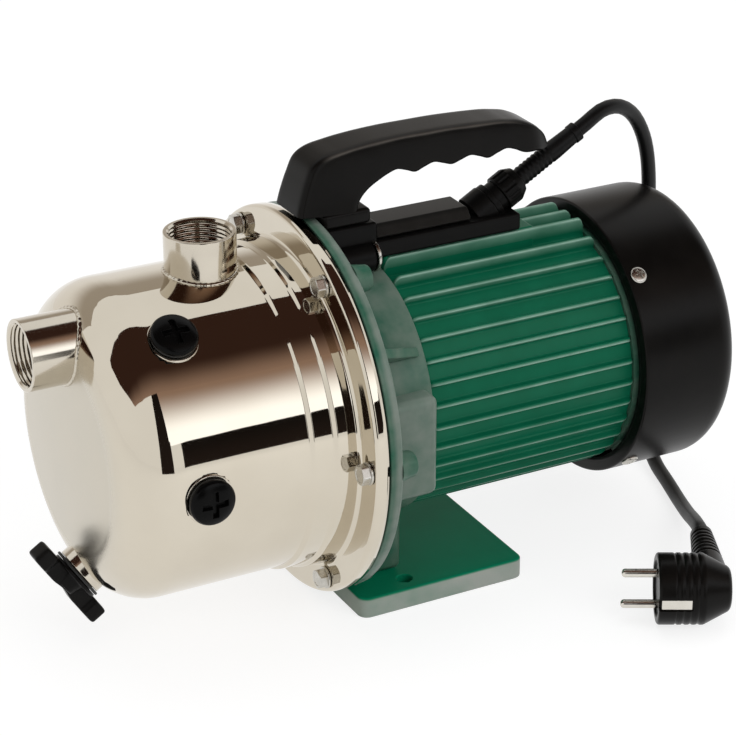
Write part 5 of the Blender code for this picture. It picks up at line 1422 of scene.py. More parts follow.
@dataclass
class MotorHousing:
    """The finned motor housing and the flat under the terminal box."""

    x: Pair = (0.0503, 0.1760)
    bore: float = 0.0623
    base: float = 0.0673
    fin: float = 0.0034
    fins: int = 36
    root: float = 0.0034
    tip: float = 0.0022
    fade: float = 0.0042
    platform_x: Pair = (0.0503, 0.1445)
    platform_half: float = 0.0140
    platform_top: float = 0.0777
    platform_base: float = 0.0610
    saddle: float = 39.0
    root_round: float = 0.0012
    tip_round: float = 0.0006
    highlight_at: float = 0.36
    highlight_width: float = 0.00040
    highlight_from: float = 0.80
    end_least: float = 0.10
    end_rows: tuple[float, ...] = (0.0, 0.0002, 0.0007, 0.0014, 0.0022, 0.0032)
    middle_inset: float = 0.012

    def section(self) -> tuple[Array, Array, Array]:
        """Give one fin's section, repeated round the housing.

        Near the top the fins grow up to a roof: the line that leaves the circle of tips at the saddle angle
        and runs straight to the platform, whose top bounds it.

        Returns:
            Angle, height above the base and share of painted highlight on the fin edges of each point.
        """
        pitch = FULL_TURN * self.base / self.fins
        line = rounded([
            (-pitch / 2, 0.0), (-self.root / 2, 0.0, self.root_round),
            (-self.tip / 2, self.fin, self.tip_round), (self.tip / 2, self.fin, self.tip_round),
            (self.root / 2, 0.0, self.root_round), (pitch / 2, 0.0)], 5)[:-1]
        # Painted highlight: a pale line along each fin's top edge, standing in for a glint.
        off_edge = (line[:, 0] - self.tip * self.highlight_at) / self.highlight_width
        sheen_and_satin = np.exp(-off_edge ** 2) * (line[:, 1] > self.fin * self.highlight_from)
        turn = np.arange(self.fins)[:, None] * FULL_TURN / self.fins
        angle = (turn + line[None, :, 0] / (self.base + line[None, :, 1] * 0.5)).ravel()
        away = np.abs(turn - math.pi / 2)
        saddle = math.radians(self.saddle)
        roof = (self.base + self.fin) / np.cos(np.clip(saddle - away, 0.0, saddle))
        under = (self.platform_top - self.tip_round) / np.cos(np.minimum(away, saddle))
        grown = np.minimum(roof, under) - self.base
        height = line[None, :, 1] * np.maximum(grown / self.fin, 1.0)
        return angle, height.ravel(), np.tile(sheen_and_satin, self.fins)

    def shell(self) -> tuple[Array, Array]:
        """Make the housing: radius is base plus fin height times an end share, closed through the bore.

        The end share is a quarter ellipse over the last few millimetres, so each fin ends round.

        Returns:
            The grid and its share of painted highlight on the fin edges.
        """
        angle, height, sheen_and_satin = self.section()
        start, end = self.x
        near = np.array((*self.end_rows, self.fade))
        middle = np.linspace(start + self.middle_inset, end - self.middle_inset, 9)
        along = np.concatenate([start + near, middle, end - near[::-1]])
        gap = np.minimum(along - start, end - along)
        share = np.sqrt(1.0 - (1.0 - np.clip(gap / self.fade, 0.0, 1.0)) ** 2)
        share = self.end_least + (1.0 - self.end_least) * share
        radius = self.base + height[None, :] * share[:, None]
        outer = np.stack([radius * np.cos(angle), radius * np.sin(angle), along[:, None] + 0.0 * angle], -1)
        inner = np.stack([self.bore * np.cos(angle), self.bore * np.sin(angle), 0.0 * angle], -1)
        grid = np.concatenate([outer, [inner + (0, 0, end), inner + (0, 0, start)]])
        sheen_and_satin_share = np.concatenate([sheen_and_satin[None, :] * share[:, None], np.zeros((2, len(angle)))])
        return grid, sheen_and_satin_share

    def build(self) -> list[Piece]:
        """Make the housing with its platform.

        Returns:
            The pieces made.
        """
        grid, sheen_and_satin_share = self.shell()
        start, end = self.platform_x
        half, low = self.platform_half, self.platform_base
        top = block((start, -half, low), (end, half, self.platform_top), 0.0022)
        mould = Mould().add(grid, SHAFT_FRAME, closed=True, edge=sheen_and_satin_share).add(top)
        return [mould.cast("finned_housing", FIN_ENAMEL, Slot.GREEN, stands_for=["stator_housing"],
                           flats=True)]


@dataclass
class FanCover:
    """The black fan cover with its slotted grille and four screws."""

    radius: float = 0.07935
    x: Pair = (0.1780, 0.2404)
    wall: float = 0.0020
    lip: float = 0.0080
    corner: float = 0.0130
    rings: tuple[tuple[float, float, int], ...] = ((0.037, 0.062, 20), (0.014, 0.032, 10))
    columns: int = 180
    slot: float = 0.0045
    screw_x: float = 0.1848
    screw: float = 0.0048
    screw_height: float = 0.0020
    screw_shank: float = 0.0018
    screw_end: float = -0.0060
    screw_crown: Pair = (0.9, 0.45)
    cross: tuple[float, float, float, float] = (0.0026, 0.0005, 0.0011, 0.0002)
    screw_angles: tuple[float, ...] = (45.0, 135.0, 225.0, 315.0)
    lip_round: float = 0.0012
    spacing: float = 0.0030
    slot_rows: int = 10

    def spread(self, radius: float, count: int) -> Array:
        """Give a grille circle's angles: even steps over each bar, two ninths of the points on each slot.

        Args:
            radius: the circle's radius.
            count: the ring's number of slots.

        Returns:
            The angles, one for each column.
        """
        edge, pitch, spans = math.asin(self.slot / 2 / radius), FULL_TURN / count, self.columns // count
        gap = spans * 2 // 9
        bar = np.linspace(edge, pitch - edge, spans - gap + 1)
        opening = np.linspace(pitch - edge, pitch + edge, gap + 1)[1:-1]
        return (np.arange(count)[:, None] * pitch + np.concatenate([bar, opening])).ravel()

    def shell(self) -> Array:
        """Turn lip, side and rear corner, then run over the grille's rings to the middle of the rear face.

        A row is a circle; on the grille its points follow the slots' straight sides.

        Returns:
            The grid.
        """
        start, end = self.x
        line = refined(rounded([
            (self.radius - self.lip, start), (self.radius, start, self.lip_round),
            (self.radius, end, self.corner), (self.rings[0][1] + 0.001, end)], 10), self.spacing)
        even = np.linspace(0.0, FULL_TURN, self.columns, endpoint=False) + 0.02
        rows = [(radius, even, x) for radius, x in line]
        for inner, outer, count in self.rings:
            circles = np.linspace(outer, inner, self.slot_rows)
            rows += [(radius, self.spread(radius, count), end) for radius in circles]
        rows.append((0.0, even, end))
        circles = [np.stack([r * np.cos(turn), r * np.sin(turn), x + 0.0 * turn], -1) for r, turn, x in rows]
        return np.stack(circles)

    def closed(self, middle: Array) -> Array:
        """Tell which faces lie outside the grille's slots.

        Args:
            middle: the faces' middles.

        Returns:
            A mask of the faces that stay.
        """
        x, y, z = middle.T
        reach, turn = np.hypot(y, z), np.arctan2(z, y)
        gone = np.zeros(len(x), bool)
        for inner, outer, count in self.rings:
            pitch = FULL_TURN / count
            off = (turn + pitch / 2) % pitch - pitch / 2
            gone |= (reach > inner) & (reach < outer) & (np.abs(reach * np.sin(off)) < self.slot / 2)
        return ~gone | (x <= self.x[1] - 10 * TINY)

    def screws(self) -> list[Piece]:
        """Make the four pan head screws: a domed head with a cross recess and a short shank.

        Returns:
            The pieces made.
        """
        made = []
        edge, fall = self.screw_crown
        share = np.linspace(0.0, edge, 30)
        dome = np.stack([self.screw * share, self.screw_height * (1.0 - fall * share ** 3)], 1)
        seat, shank, end = 5 * TINY, self.screw_shank, self.screw_end
        rest = rounded([
            (self.screw * edge, dome[-1, 1]), (self.screw, self.screw_height * 0.35, 0.0004),
            (self.screw, seat), (shank, seat), (shank, end), (0.0, end)], 4)[1:]
        grid = turned(np.concatenate([dome, rest]), 72)
        grid = cross_recess(grid, slice(0, len(dome)), *self.cross)
        for number, angle in enumerate(self.screw_angles):
            turn = math.radians(angle)
            out = np.array((0.0, math.cos(turn), math.sin(turn)))
            frame = frame_at((self.screw_x, *(self.radius * out[1:])), out, (1.0, 0.3 * number, 0.2))
            node = f"fan_cover_screw_{number + 1}"
            screw = Mould().add(grid, frame)
            made.append(screw.cast(f"{node}_head", ZINC_PLATE, Slot.ZINC, stands_for=[node]))
        return made

    def build(self) -> list[Piece]:
        """Make the cover and its screws.

        Returns:
            The pieces made.
        """
        cover = Mould().add(self.shell(), SHAFT_FRAME).cast(
            "fan_cover_shell", SATIN_BLACK, Slot.BLACK, stands_for=["fan_cover"], wall=self.wall,
            keep=self.closed)
        return [cover] + self.screws()


@dataclass
class TerminalBox:
    """The black terminal box under the handle, with its grey lid."""

    base: tuple[Point, Point] = ((0.0440, -0.0160, 0.0780), (0.1340, 0.0160, 0.0880))
    pillar: tuple[Point, Point] = ((0.0140, -0.0160, 0.0723), (0.0460, 0.0160, 0.0992))
    bulge: float = 0.0080
    bulge_x: Pair = (0.0200, 0.0420)
    bulge_y: float = 0.0157
    bulge_z: float = 0.0806
    ring: float = 0.0020
    lid: tuple[Point, Point] = ((0.0463, -0.0135, 0.0883), (0.1043, 0.0135, 0.0950))
    lid_top: float = 0.0090
    boss: float = 0.0112
    boss_length: float = 0.0110
    bulge_round: float = 0.0016
    ring_radii: Pair = (0.6, 1.08)
    ring_gap: float = 0.0002
    lid_step: float = 0.002

    def build(self) -> list[Piece]:
        """Make the box with its bulges, the lid and the two rings.

        Returns:
            The pieces made.
        """
        mould = Mould().add(block(*self.base, 0.0018)).add(block(*self.pillar, 0.0020))
        start, end = self.bulge_x
        length, soft = end - start, self.bulge_round
        line = rounded([(0.0, 0.0), (self.bulge, 0.0, soft), (self.bulge, length, soft), (0.0, length)], 5)
        inner, outer = (self.bulge * share for share in self.ring_radii)
        thick = self.ring
        band = rounded([(inner, 0.0), (outer, 0.0, 0.0006), (outer, thick, 0.0006), (inner, thick)], 4)
        rings = Mould()
        for way in (-1.0, 1.0):
            side = (way * self.bulge_y, self.bulge_z)
            mould.add(turned(line, 40), frame_at((start, *side), (1, 0, 0), (0, 0, 1)))
            seat = frame_at((end + self.ring_gap, *side), (1, 0, 0), (0, 0, 1))
            rings.add(turned(band, 48), seat, closed=True)
        foot = -self.boss_length
        neck = rounded([(0.0, 0.0), (self.boss, 0.0, 0.0008), (self.boss, foot), (0.0, foot)], 4)
        mould.add(turned(neck, 40), frame_at(GLAND_AT, GLAND_WAY, (0, 1, 0)))
        box = mould.cast("terminal_box_body", GRAINED_BLACK, Slot.BLACK, stands_for=["terminal_box"],
                         flats=True)
        grid = block(*self.lid, 0.0016, 5)
        low, high = self.lid[0][2], self.lid[1][2]
        share = np.clip((grid[..., 2] - low - self.lid_step) / (high - low - self.lid_step), 0.0, 1.0)
        grid[..., 1] *= 1.0 - share * (1.0 - self.lid_top / self.lid[1][1])
        lid = Mould().add(grid).cast("terminal_box_cover", LID_GREY, Slot.GREY,
                                     stands_for=["terminal_box_lid"], flats=True)
        return [box, lid, rings.cast("terminal_box_rings", ZINC_PLATE, Slot.ZINC)]


@dataclass
class CarryHandle:
    """The black carrying handle, free at its rear end, with finger scallops below the grip."""

    seat: float = 0.0995
    foot: tuple[Point, Point] = ((0.0140, -0.0160, 0.0), (0.0420, 0.0160, 0.0085))
    crest: float = 0.0488
    pitch: float = 0.0222
    crests: int = 5
    rise: float = 0.0210
    groove: float = 0.0036
    squareness: float = 11.0
    lean_from: float = 0.30
    lean: float = 0.07
    ridge: float = 0.00030
    ridge_at: Pair = (0.88, 0.06)
    upper: tuple[Pair, ...] = (
        (0.0004, 0.0092), (0.0020, 0.0160), (0.0054, 0.0262), (0.0094, 0.0348), (0.0165, 0.0392),
        (0.0270, 0.0411), (0.0420, 0.0428), (0.0590, 0.0436), (0.0770, 0.0437), (0.0950, 0.0434),
        (0.1130, 0.0425), (0.1270, 0.0412), (0.1385, 0.0384), (0.1475, 0.0330), (0.1530, 0.0268),
        (0.1552, 0.0218))
    lower_leg: tuple[Pair, ...] = ((0.0350, 0.0074), (0.0362, 0.0108), (0.0388, 0.0144), (0.0430, 0.0178))
    lower_tip: tuple[Pair, ...] = ((0.1465, 0.0202), (0.1525, 0.0194), (0.1548, 0.0204))
    leg_stations: tuple[float, ...] = (0.0, 0.06, 0.13, 0.19)
    grip_station: float = 0.25
    scallop: tuple[Pair, ...] = ((0.25, 0.72), (0.50, 1.15), (0.75, 0.72))
    width_stations: tuple[float, ...] = (0.0, 0.2, 0.5, 0.85, 0.95, 1.0)
    half_widths: tuple[float, ...] = (0.0158, 0.0138, 0.0128, 0.0124, 0.0112, 0.0070)

    def rails(self, samples: Array) -> tuple[Array, Array]:
        """Give the front and upper rail and the rear and lower rail as (x, height) at the same stations.

        Args:
            samples: the stations, from 0 to 1.

        Returns:
            Both rails' points.
        """
        lower = list(self.lower_leg)
        for number in range(self.crests):
            place = self.crest + number * self.pitch
            lower.append((place, self.rise + 0.0010 * math.sin(math.pi * number / 4)))
            if number < self.crests - 1:
                lower += [(place + self.pitch * run, self.rise + self.groove * lift)
                          for run, lift in self.scallop]
        lower += self.lower_tip
        legs = len(self.leg_stations)
        rails = []
        for rail in (self.upper, lower):
            reach = np.array([x for x, _ in rail[legs:]])
            share = (reach - reach[0]) / (reach[-1] - reach[0])
            stations = [*self.leg_stations, *(self.grip_station + (1.0 - self.grip_station) * share)]
            rails.append(smooth_through(stations, rail, samples))
        return rails[0], rails[1]

    def grip(self) -> tuple[Array, Array]:
        """Loft the handle between its rails.

        Point (s, t) is the rails' middle plus half their gap times a rounded square's rise, and across it the
        half width times the rounded square's run; above the shoulder the width falls in a line, and a fine
        ridge stands on the shoulder. Both ends close on the rails' middle.

        Returns:
            The grid and its share of painted highlight along the shoulder's ridge.
        """
        samples = np.linspace(0.0, 1.0, 240)
        upper, lower = self.rails(samples)
        middle, gap = (upper + lower) / 2, (upper - lower) / 2
        half = smooth_through(self.width_stations, np.array(self.half_widths)[:, None], samples)
        across, rise = bulged(np.linspace(0.0, FULL_TURN, 144, endpoint=False), self.squareness)
        lean = 1.0 - self.lean * np.clip((rise - self.lean_from) / (1.0 - self.lean_from), 0.0, 1.0)
        ridge_rise, ridge_width = self.ridge_at
        crest = np.exp(-((rise - ridge_rise) / ridge_width) ** 2) * (np.abs(across) > 0.80)
        width = half * across * lean + self.ridge * crest * np.sign(across)
        grid = np.stack([
            middle[:, :1] + gap[:, :1] * rise, width, self.seat + middle[:, 1:] + gap[:, 1:] * rise], -1)
        ends = [np.repeat(grid[row].mean(0)[None, None], grid.shape[1], 1) for row in (0, -1)]
        # Painted highlight: a pale line on the shoulder's ridge over the grip, faded out towards both ends.
        held = soft_step(samples, 0.22, 0.28) * (1.0 - soft_step(samples, 0.80, 0.92))
        along = np.concatenate([[0.0], held, [0.0]])
        return np.concatenate([ends[0], grid, ends[1]]), along[:, None] * crest[None, :]

    def build(self) -> list[Piece]:
        """Make the handle with its foot.

        Returns:
            The pieces made.
        """
        low, high = np.array(self.foot[0]), np.array(self.foot[1])
        lift = np.array((0.0, 0.0, self.seat))
        grid, sheen_and_satin = self.grip()
        mould = Mould().add(grid, edge=sheen_and_satin).add(block(low + lift, high + lift, 0.0022))
        return [mould.cast("handle_grip", SATIN_BLACK, Slot.BLACK, stands_for=["handle"], sharp=50.0)]


# --- mains lead


@dataclass
class CableEntry:
    """The cable gland and the ribbed kink guard."""

    collar: float = 0.0106
    collar_end: float = 0.0035
    body_end: float = 0.0080
    neck: float = 0.0088
    nut: float = 0.0102
    nut_x: Pair = (0.0083, 0.0218)
    nut_lip: float = 0.0074
    nut_cone: float = 0.0050
    flutes: int = 12
    flute_depth: float = 0.0009
    guard_x: Pair = (0.0221, 0.0651)
    guard_bend: float = 0.026
    guard_cuff: Pair = (0.0045, 0.0042)
    guard: float = 0.0056
    guard_tip: float = 0.0051
    ribs: int = 8
    rib_pitch: float = 0.0028
    rib_depth: float = 0.0004

    def build(self) -> list[Piece]:
        """Make gland body, nut and kink guard.

        Returns:
            The pieces made.
        """
        frame = frame_at(GLAND_AT, GLAND_WAY, (0, 1, 0))
        body = rounded([
            (0.0, 0.0), (self.collar, 0.0, 0.0005), (self.collar, self.collar_end, 0.0006),
            (self.neck, self.collar_end), (self.neck, self.body_end), (0.0, self.body_end)], 4)
        start, end = self.nut_x
        nut = rounded([
            (0.0, start), (self.nut, start, 0.0006), (self.nut, end - self.nut_cone, 0.0015),
            (self.nut_lip, end, 0.0008), (0.0, end)], 5)

        def fluted(angle: Array, height: Array) -> Array:
            """Cut the grip flutes into the nut's side: a clipped cosine of the angle, faded at both ends."""
            wave = np.clip(np.cos(self.flutes * angle), 0.0, 1.0) ** 0.7
            near, far = soft_step(height, start + 0.0008, start + 0.0016), end - 0.0040 - height
            return -self.flute_depth * wave * soft_step(far, 0.0, 0.0012) * near

        first, last = self.guard_x
        waist, cuff = (last - length for length in self.guard_cuff)
        line = refined(rounded([
            (0.0, first), (self.guard, first, 0.0004), (self.guard, first + self.guard_bend, 0.004),
            (self.guard_tip, waist), (self.guard, cuff, 0.0003), (self.guard, last, 0.0005),
            (self.guard_tip * 0.86, last), (0.0, last)], 4), 0.00035)
        rib_end = first + self.ribs * self.rib_pitch

        def ribbed(angle: Array, height: Array) -> Array:
            """Cut grooves between the guard's ribs: a cosine in height over the ribbed length."""
            wave = 0.5 - 0.5 * np.cos(FULL_TURN * (height - first) / self.rib_pitch)
            on_side = (line[:, :1] > self.guard * 0.85) & (height < rib_end)
            return np.where(on_side, -self.rib_depth * wave, 0.0) + 0.0 * angle

        return [
            Mould().add(turned(body, 48), frame).cast(
                "gland_collar", GRAINED_BLACK, Slot.BLACK, stands_for=["gland_body"]),
            Mould().add(turned(refined(nut, 0.0008), 144, fluted), frame).cast(
                "gland_grip_nut", GRAINED_BLACK, Slot.BLACK, stands_for=["gland_nut"]),
            Mould().add(turned(line, 48, ribbed), frame).cast(
                "kink_guard_sleeve", SHEATH_RUBBER, Slot.RUBBER, stands_for=["kink_guard"]),
        ]


@dataclass
class MainsLead:
    """The mains cord and its angled plug, lying on the floor."""

    cord: float = 0.0042
    lead: float = 0.0060
    step: float = 0.0060
    exit_gap: float = 0.0654
    face: Point = (0.1540, -0.1320, -0.0925)
    heading: float = 151.6
    radius: float = 0.0195
    length: float = 0.0250
    back: float = 0.0150
    back_radius: float = 0.0115
    boot_offset: float = 0.0310
    boot_reach: float = 0.0610
    boot_root: float = 0.0095
    boot_tip: float = 0.0062
    pin: float = 0.0024
    pin_length: float = 0.0190
    pin_seat: float = 0.0060
    pin_gap: float = 0.0190
    pin_round: float = 0.0019
    recess: Pair = (0.0150, 0.0156)
    recess_depth: float = 0.0012
    rib_pitch: float = 0.004
    rib_depth: float = 0.0006
    groove_depth: float = 0.0022
    groove_half: Pair = (0.0030, 0.0034)
    groove_length: float = 0.0185
    boot_start: float = -0.0040
    boot_ribs: Pair = (0.0260, 0.0560)
    boot_rib_pitch: float = 0.0042
    boot_rib_depth: float = 0.0007
    clip: tuple[Point, Point] = ((0.0168, -0.0030, -0.0180), (0.0180, 0.0030, -0.0015))
    clip_round: float = 0.0004
    route: tuple[Point, ...] = (
        (0.1965, 0.0032, 0.1308), (0.2105, 0.0080, 0.1290), (0.2235, 0.0135, 0.1205),
        (0.2340, 0.0185, 0.1065), (0.2420, 0.0240, 0.0895), (0.2490, 0.0312, 0.0680),
        (0.2548, 0.0392, 0.0440), (0.2595, 0.0460, 0.0170), (0.2617, 0.0505, -0.0140),
        (0.2625, 0.0510, -0.0450), (0.2619, 0.0480, -0.0690), (0.2605, 0.0420, -0.0880),
        (0.2575, 0.0310, -0.1010), (0.2530, 0.0150, -0.1072), (0.2460, -0.0080, -0.1075),
        (0.2380, -0.0320, -0.1068), (0.2295, -0.0530, -0.1030), (0.2215, -0.0710, -0.0975))

    def pins_way(self) -> Array:
        """Give the pins' direction."""
        turn = math.radians(self.heading)
        return np.array((math.cos(turn), math.sin(turn), 0.0))

    def boot_way(self) -> Array:
        """Give the direction in which the cord leaves the plug."""
        pins = self.pins_way()
        return np.array((pins[1], -pins[0], 0.0))

    def centreline(self) -> Array:
        """Give the cord's middle line in the row frame: the smooth curve through its knots, read evenly.

        Returns:
            The line's points.
        """
        start = np.asarray(GLAND_AT) + GLAND_WAY * self.exit_gap
        away = self.boot_way()
        end = np.asarray(self.face) - self.pins_way() * self.boot_offset + away * (self.boot_reach + 0.0003)
        knots = np.array([start, start + GLAND_WAY * self.lead, *self.route, end + away * self.lead, end])
        before, first, second, after = knots[:-3, None], knots[1:-2, None], knots[2:-1, None], knots[3:, None]
        share = np.linspace(0.0, 1.0, 24, endpoint=False)[None, :, None]
        dense = (2 * first + (second - before) * share
                 + (2 * before - 5 * first + 4 * second - after) * share ** 2
                 + (3 * first - before - 3 * second + after) * share ** 3) / 2
        dense = np.concatenate([dense.reshape(-1, 3), knots[-2:-1]])
        lengths = np.concatenate([[0.0], np.cumsum(np.linalg.norm(np.diff(dense, axis=0), axis=1))])
        even = np.linspace(0.0, lengths[-1], round(lengths[-1] / self.step) + 1)
        middle = np.stack([np.interp(even, lengths, dense[:, axis]) for axis in range(3)], 1)
        return np.concatenate([knots[:1], middle, knots[-1:]]) + ROW_OFFSET

    def sheath(self) -> Piece:
        """Returns:
            The cord.
        """
        points = self.centreline()
        curve = bpy.data.curves.new("mains_cord_sheath", "CURVE")
        curve.dimensions = "3D"
        curve.bevel_depth = self.cord
        curve.bevel_resolution = 8
        curve.use_fill_caps = True
        spline = curve.splines.new("POLY")
        spline.points.add(len(points) - 1)
        spline.points.foreach_set("co", np.concatenate([points, np.ones((len(points), 1))], 1).ravel())
        spline.use_smooth = True
        cord = bpy.data.objects.new("mains_cord_sheath", curve)
        bpy.context.scene.collection.objects.link(cord)
        settle(cord, SHEATH_RUBBER, Body.PUMP, ["mains_cord"])
        return cord

    def plug_line(self) -> Array:
        """Give the plug body's line: sunk face, rim, side, and a cone that falls to its back.

        Returns:
            The line's points.
        """
        back, sunk = -self.length, -self.recess_depth
        floor, mouth = self.recess
        return refined(rounded([
            (0.0, sunk), (floor, sunk, 0.0004), (mouth, 0.0, 0.0003), (self.radius, 0.0, 0.0015),
            (self.radius, back, 0.0030), (self.back_radius, back - self.back, 0.0040),
            (0.0, back - self.back)], 6), 0.0006)

    def boot_line(self) -> Array:
        """Give the boot's line: a root inside the body and a taper to the cord.

        Returns:
            The line's points.
        """
        root, end = self.boot_root, self.boot_reach
        return refined(rounded([
            (0.0, self.boot_start), (root, self.boot_start), (root, self.radius * 0.80, 0.0040),
            (self.boot_tip, end, 0.0008), (0.0, end)], 5), 0.0005)

    def plug(self) -> list[Piece]:
        """Make the plug's body with its boot, both pins and the earth clips.

        Returns:
            The pieces made.
        """
        pins = self.pins_way()
        face = frame_at(self.face, pins, (0, 0, 1))
        shell, boot = self.plug_line(), self.boot_line()

        def gripped(angle: Array, height: Array) -> Array:
            """Cut shallow finger ribs round the body's rear and a clip groove along each side."""
            wave = np.clip(np.cos(FULL_TURN * (height + 0.010) / self.rib_pitch), 0.0, 1.0)
            ribs = self.rib_depth * wave * (
                soft_step(-height, 0.009, 0.010) * (1.0 - soft_step(-height, 0.024, 0.025)))
            across = self.radius * np.abs(np.sin(angle))
            groove = self.groove_depth * (1.0 - soft_step(across, *self.groove_half)) * (
                soft_step(self.groove_length + height, 0.0, 0.0008))
            return -np.where(shell[:, :1] > self.radius * 0.9, np.maximum(ribs, groove), 0.0)

        def ribbed(angle: Array, height: Array) -> Array:
            """Cut grooves round the boot, a cosine in height over its outer half."""
            start, end = self.boot_ribs
            wave = np.clip(np.cos(FULL_TURN * height / self.boot_rib_pitch), 0.0, 1.0)
            on_side = (boot[:, :1] > 0.0045) & (height > start) & (height < end)
            return np.where(on_side, -self.boot_rib_depth * wave, 0.0) + 0.0 * angle

        boot_frame = frame_at(np.asarray(self.face) - pins * self.boot_offset, self.boot_way(), (0, 0, 1))
        mould = Mould().add(turned(shell, 144, gripped), face).add(turned(boot, 48, ribbed), boot_frame)
        made = [mould.cast("mains_plug_body", SATIN_BLACK, Slot.BLACK, stands_for=["plug_body"])]
        tip, root = self.pin_length, -self.pin_seat
        rod = rounded([(0.0, tip), (self.pin, tip, self.pin_round), (self.pin, root), (0.0, root)], 6)
        strip = block(*self.clip, self.clip_round)
        for number, way in enumerate((1.0, -1.0), 1):
            place = np.asarray(self.face) + np.array((0.0, 0.0, way * self.pin_gap / 2))
            pin = Mould().add(turned(rod, 32), frame_at(place, pins, (0, 0, 1)))
            made.append(pin.cast(f"mains_plug_pin_{number}", NICKEL_PLATE, Slot.NICKEL,
                                 stands_for=[f"plug_pin_{number}"]))
            clip = Mould().add(strip * (way, 1.0, 1.0), face)
            made.append(clip.cast(f"mains_plug_clip_{number}", NICKEL_PLATE, Slot.NICKEL,
                                  stands_for=[f"plug_earth_clip_{number}"], flats=True))
        return made

    def build(self) -> list[Piece]:
        """Make the plug and the cord."""
        plug = self.plug()
        return plug + [self.sheath()]


# --- CAD nodes that stay


@dataclass
class InnerParts:
    """The CAD nodes that keep their shape and get a finish."""

    nodes: dict

    def dress(self) -> None:
        """Give each kept node its finish."""
        groups = (
            (CAST_ENAMEL, "rear_end_shield"), (SATIN_BLACK, "cooling_fan"),
            (GREY_PLASTIC, "diffuser ejector_body"),
            (SEAL_RUBBER, "casing_gasket seal_rotating slinger"), (ZINC_PLATE, "foot_screw_1 foot_screw_2"),
            (MACHINED_STEEL, "seal_plate shaft front_bearing_inner front_bearing_outer rear_bearing_inner "
                             "rear_bearing_outer stator_core rotor_core"),
            (WHITE_PLASTIC, "seal_seat capacitor"), (MACHINED_BRASS, "impeller impeller_nut ejector_nozzle"),
            (COPPER_WIRE, "winding_front winding_rear"),
        )
        for finish, names in groups:
            for name in names.split():
                for holder in self.nodes[name].material_slots:
                    holder.material = finish.material()
                LOG.info("node %s, %s", name, finish.name)


# --- studio


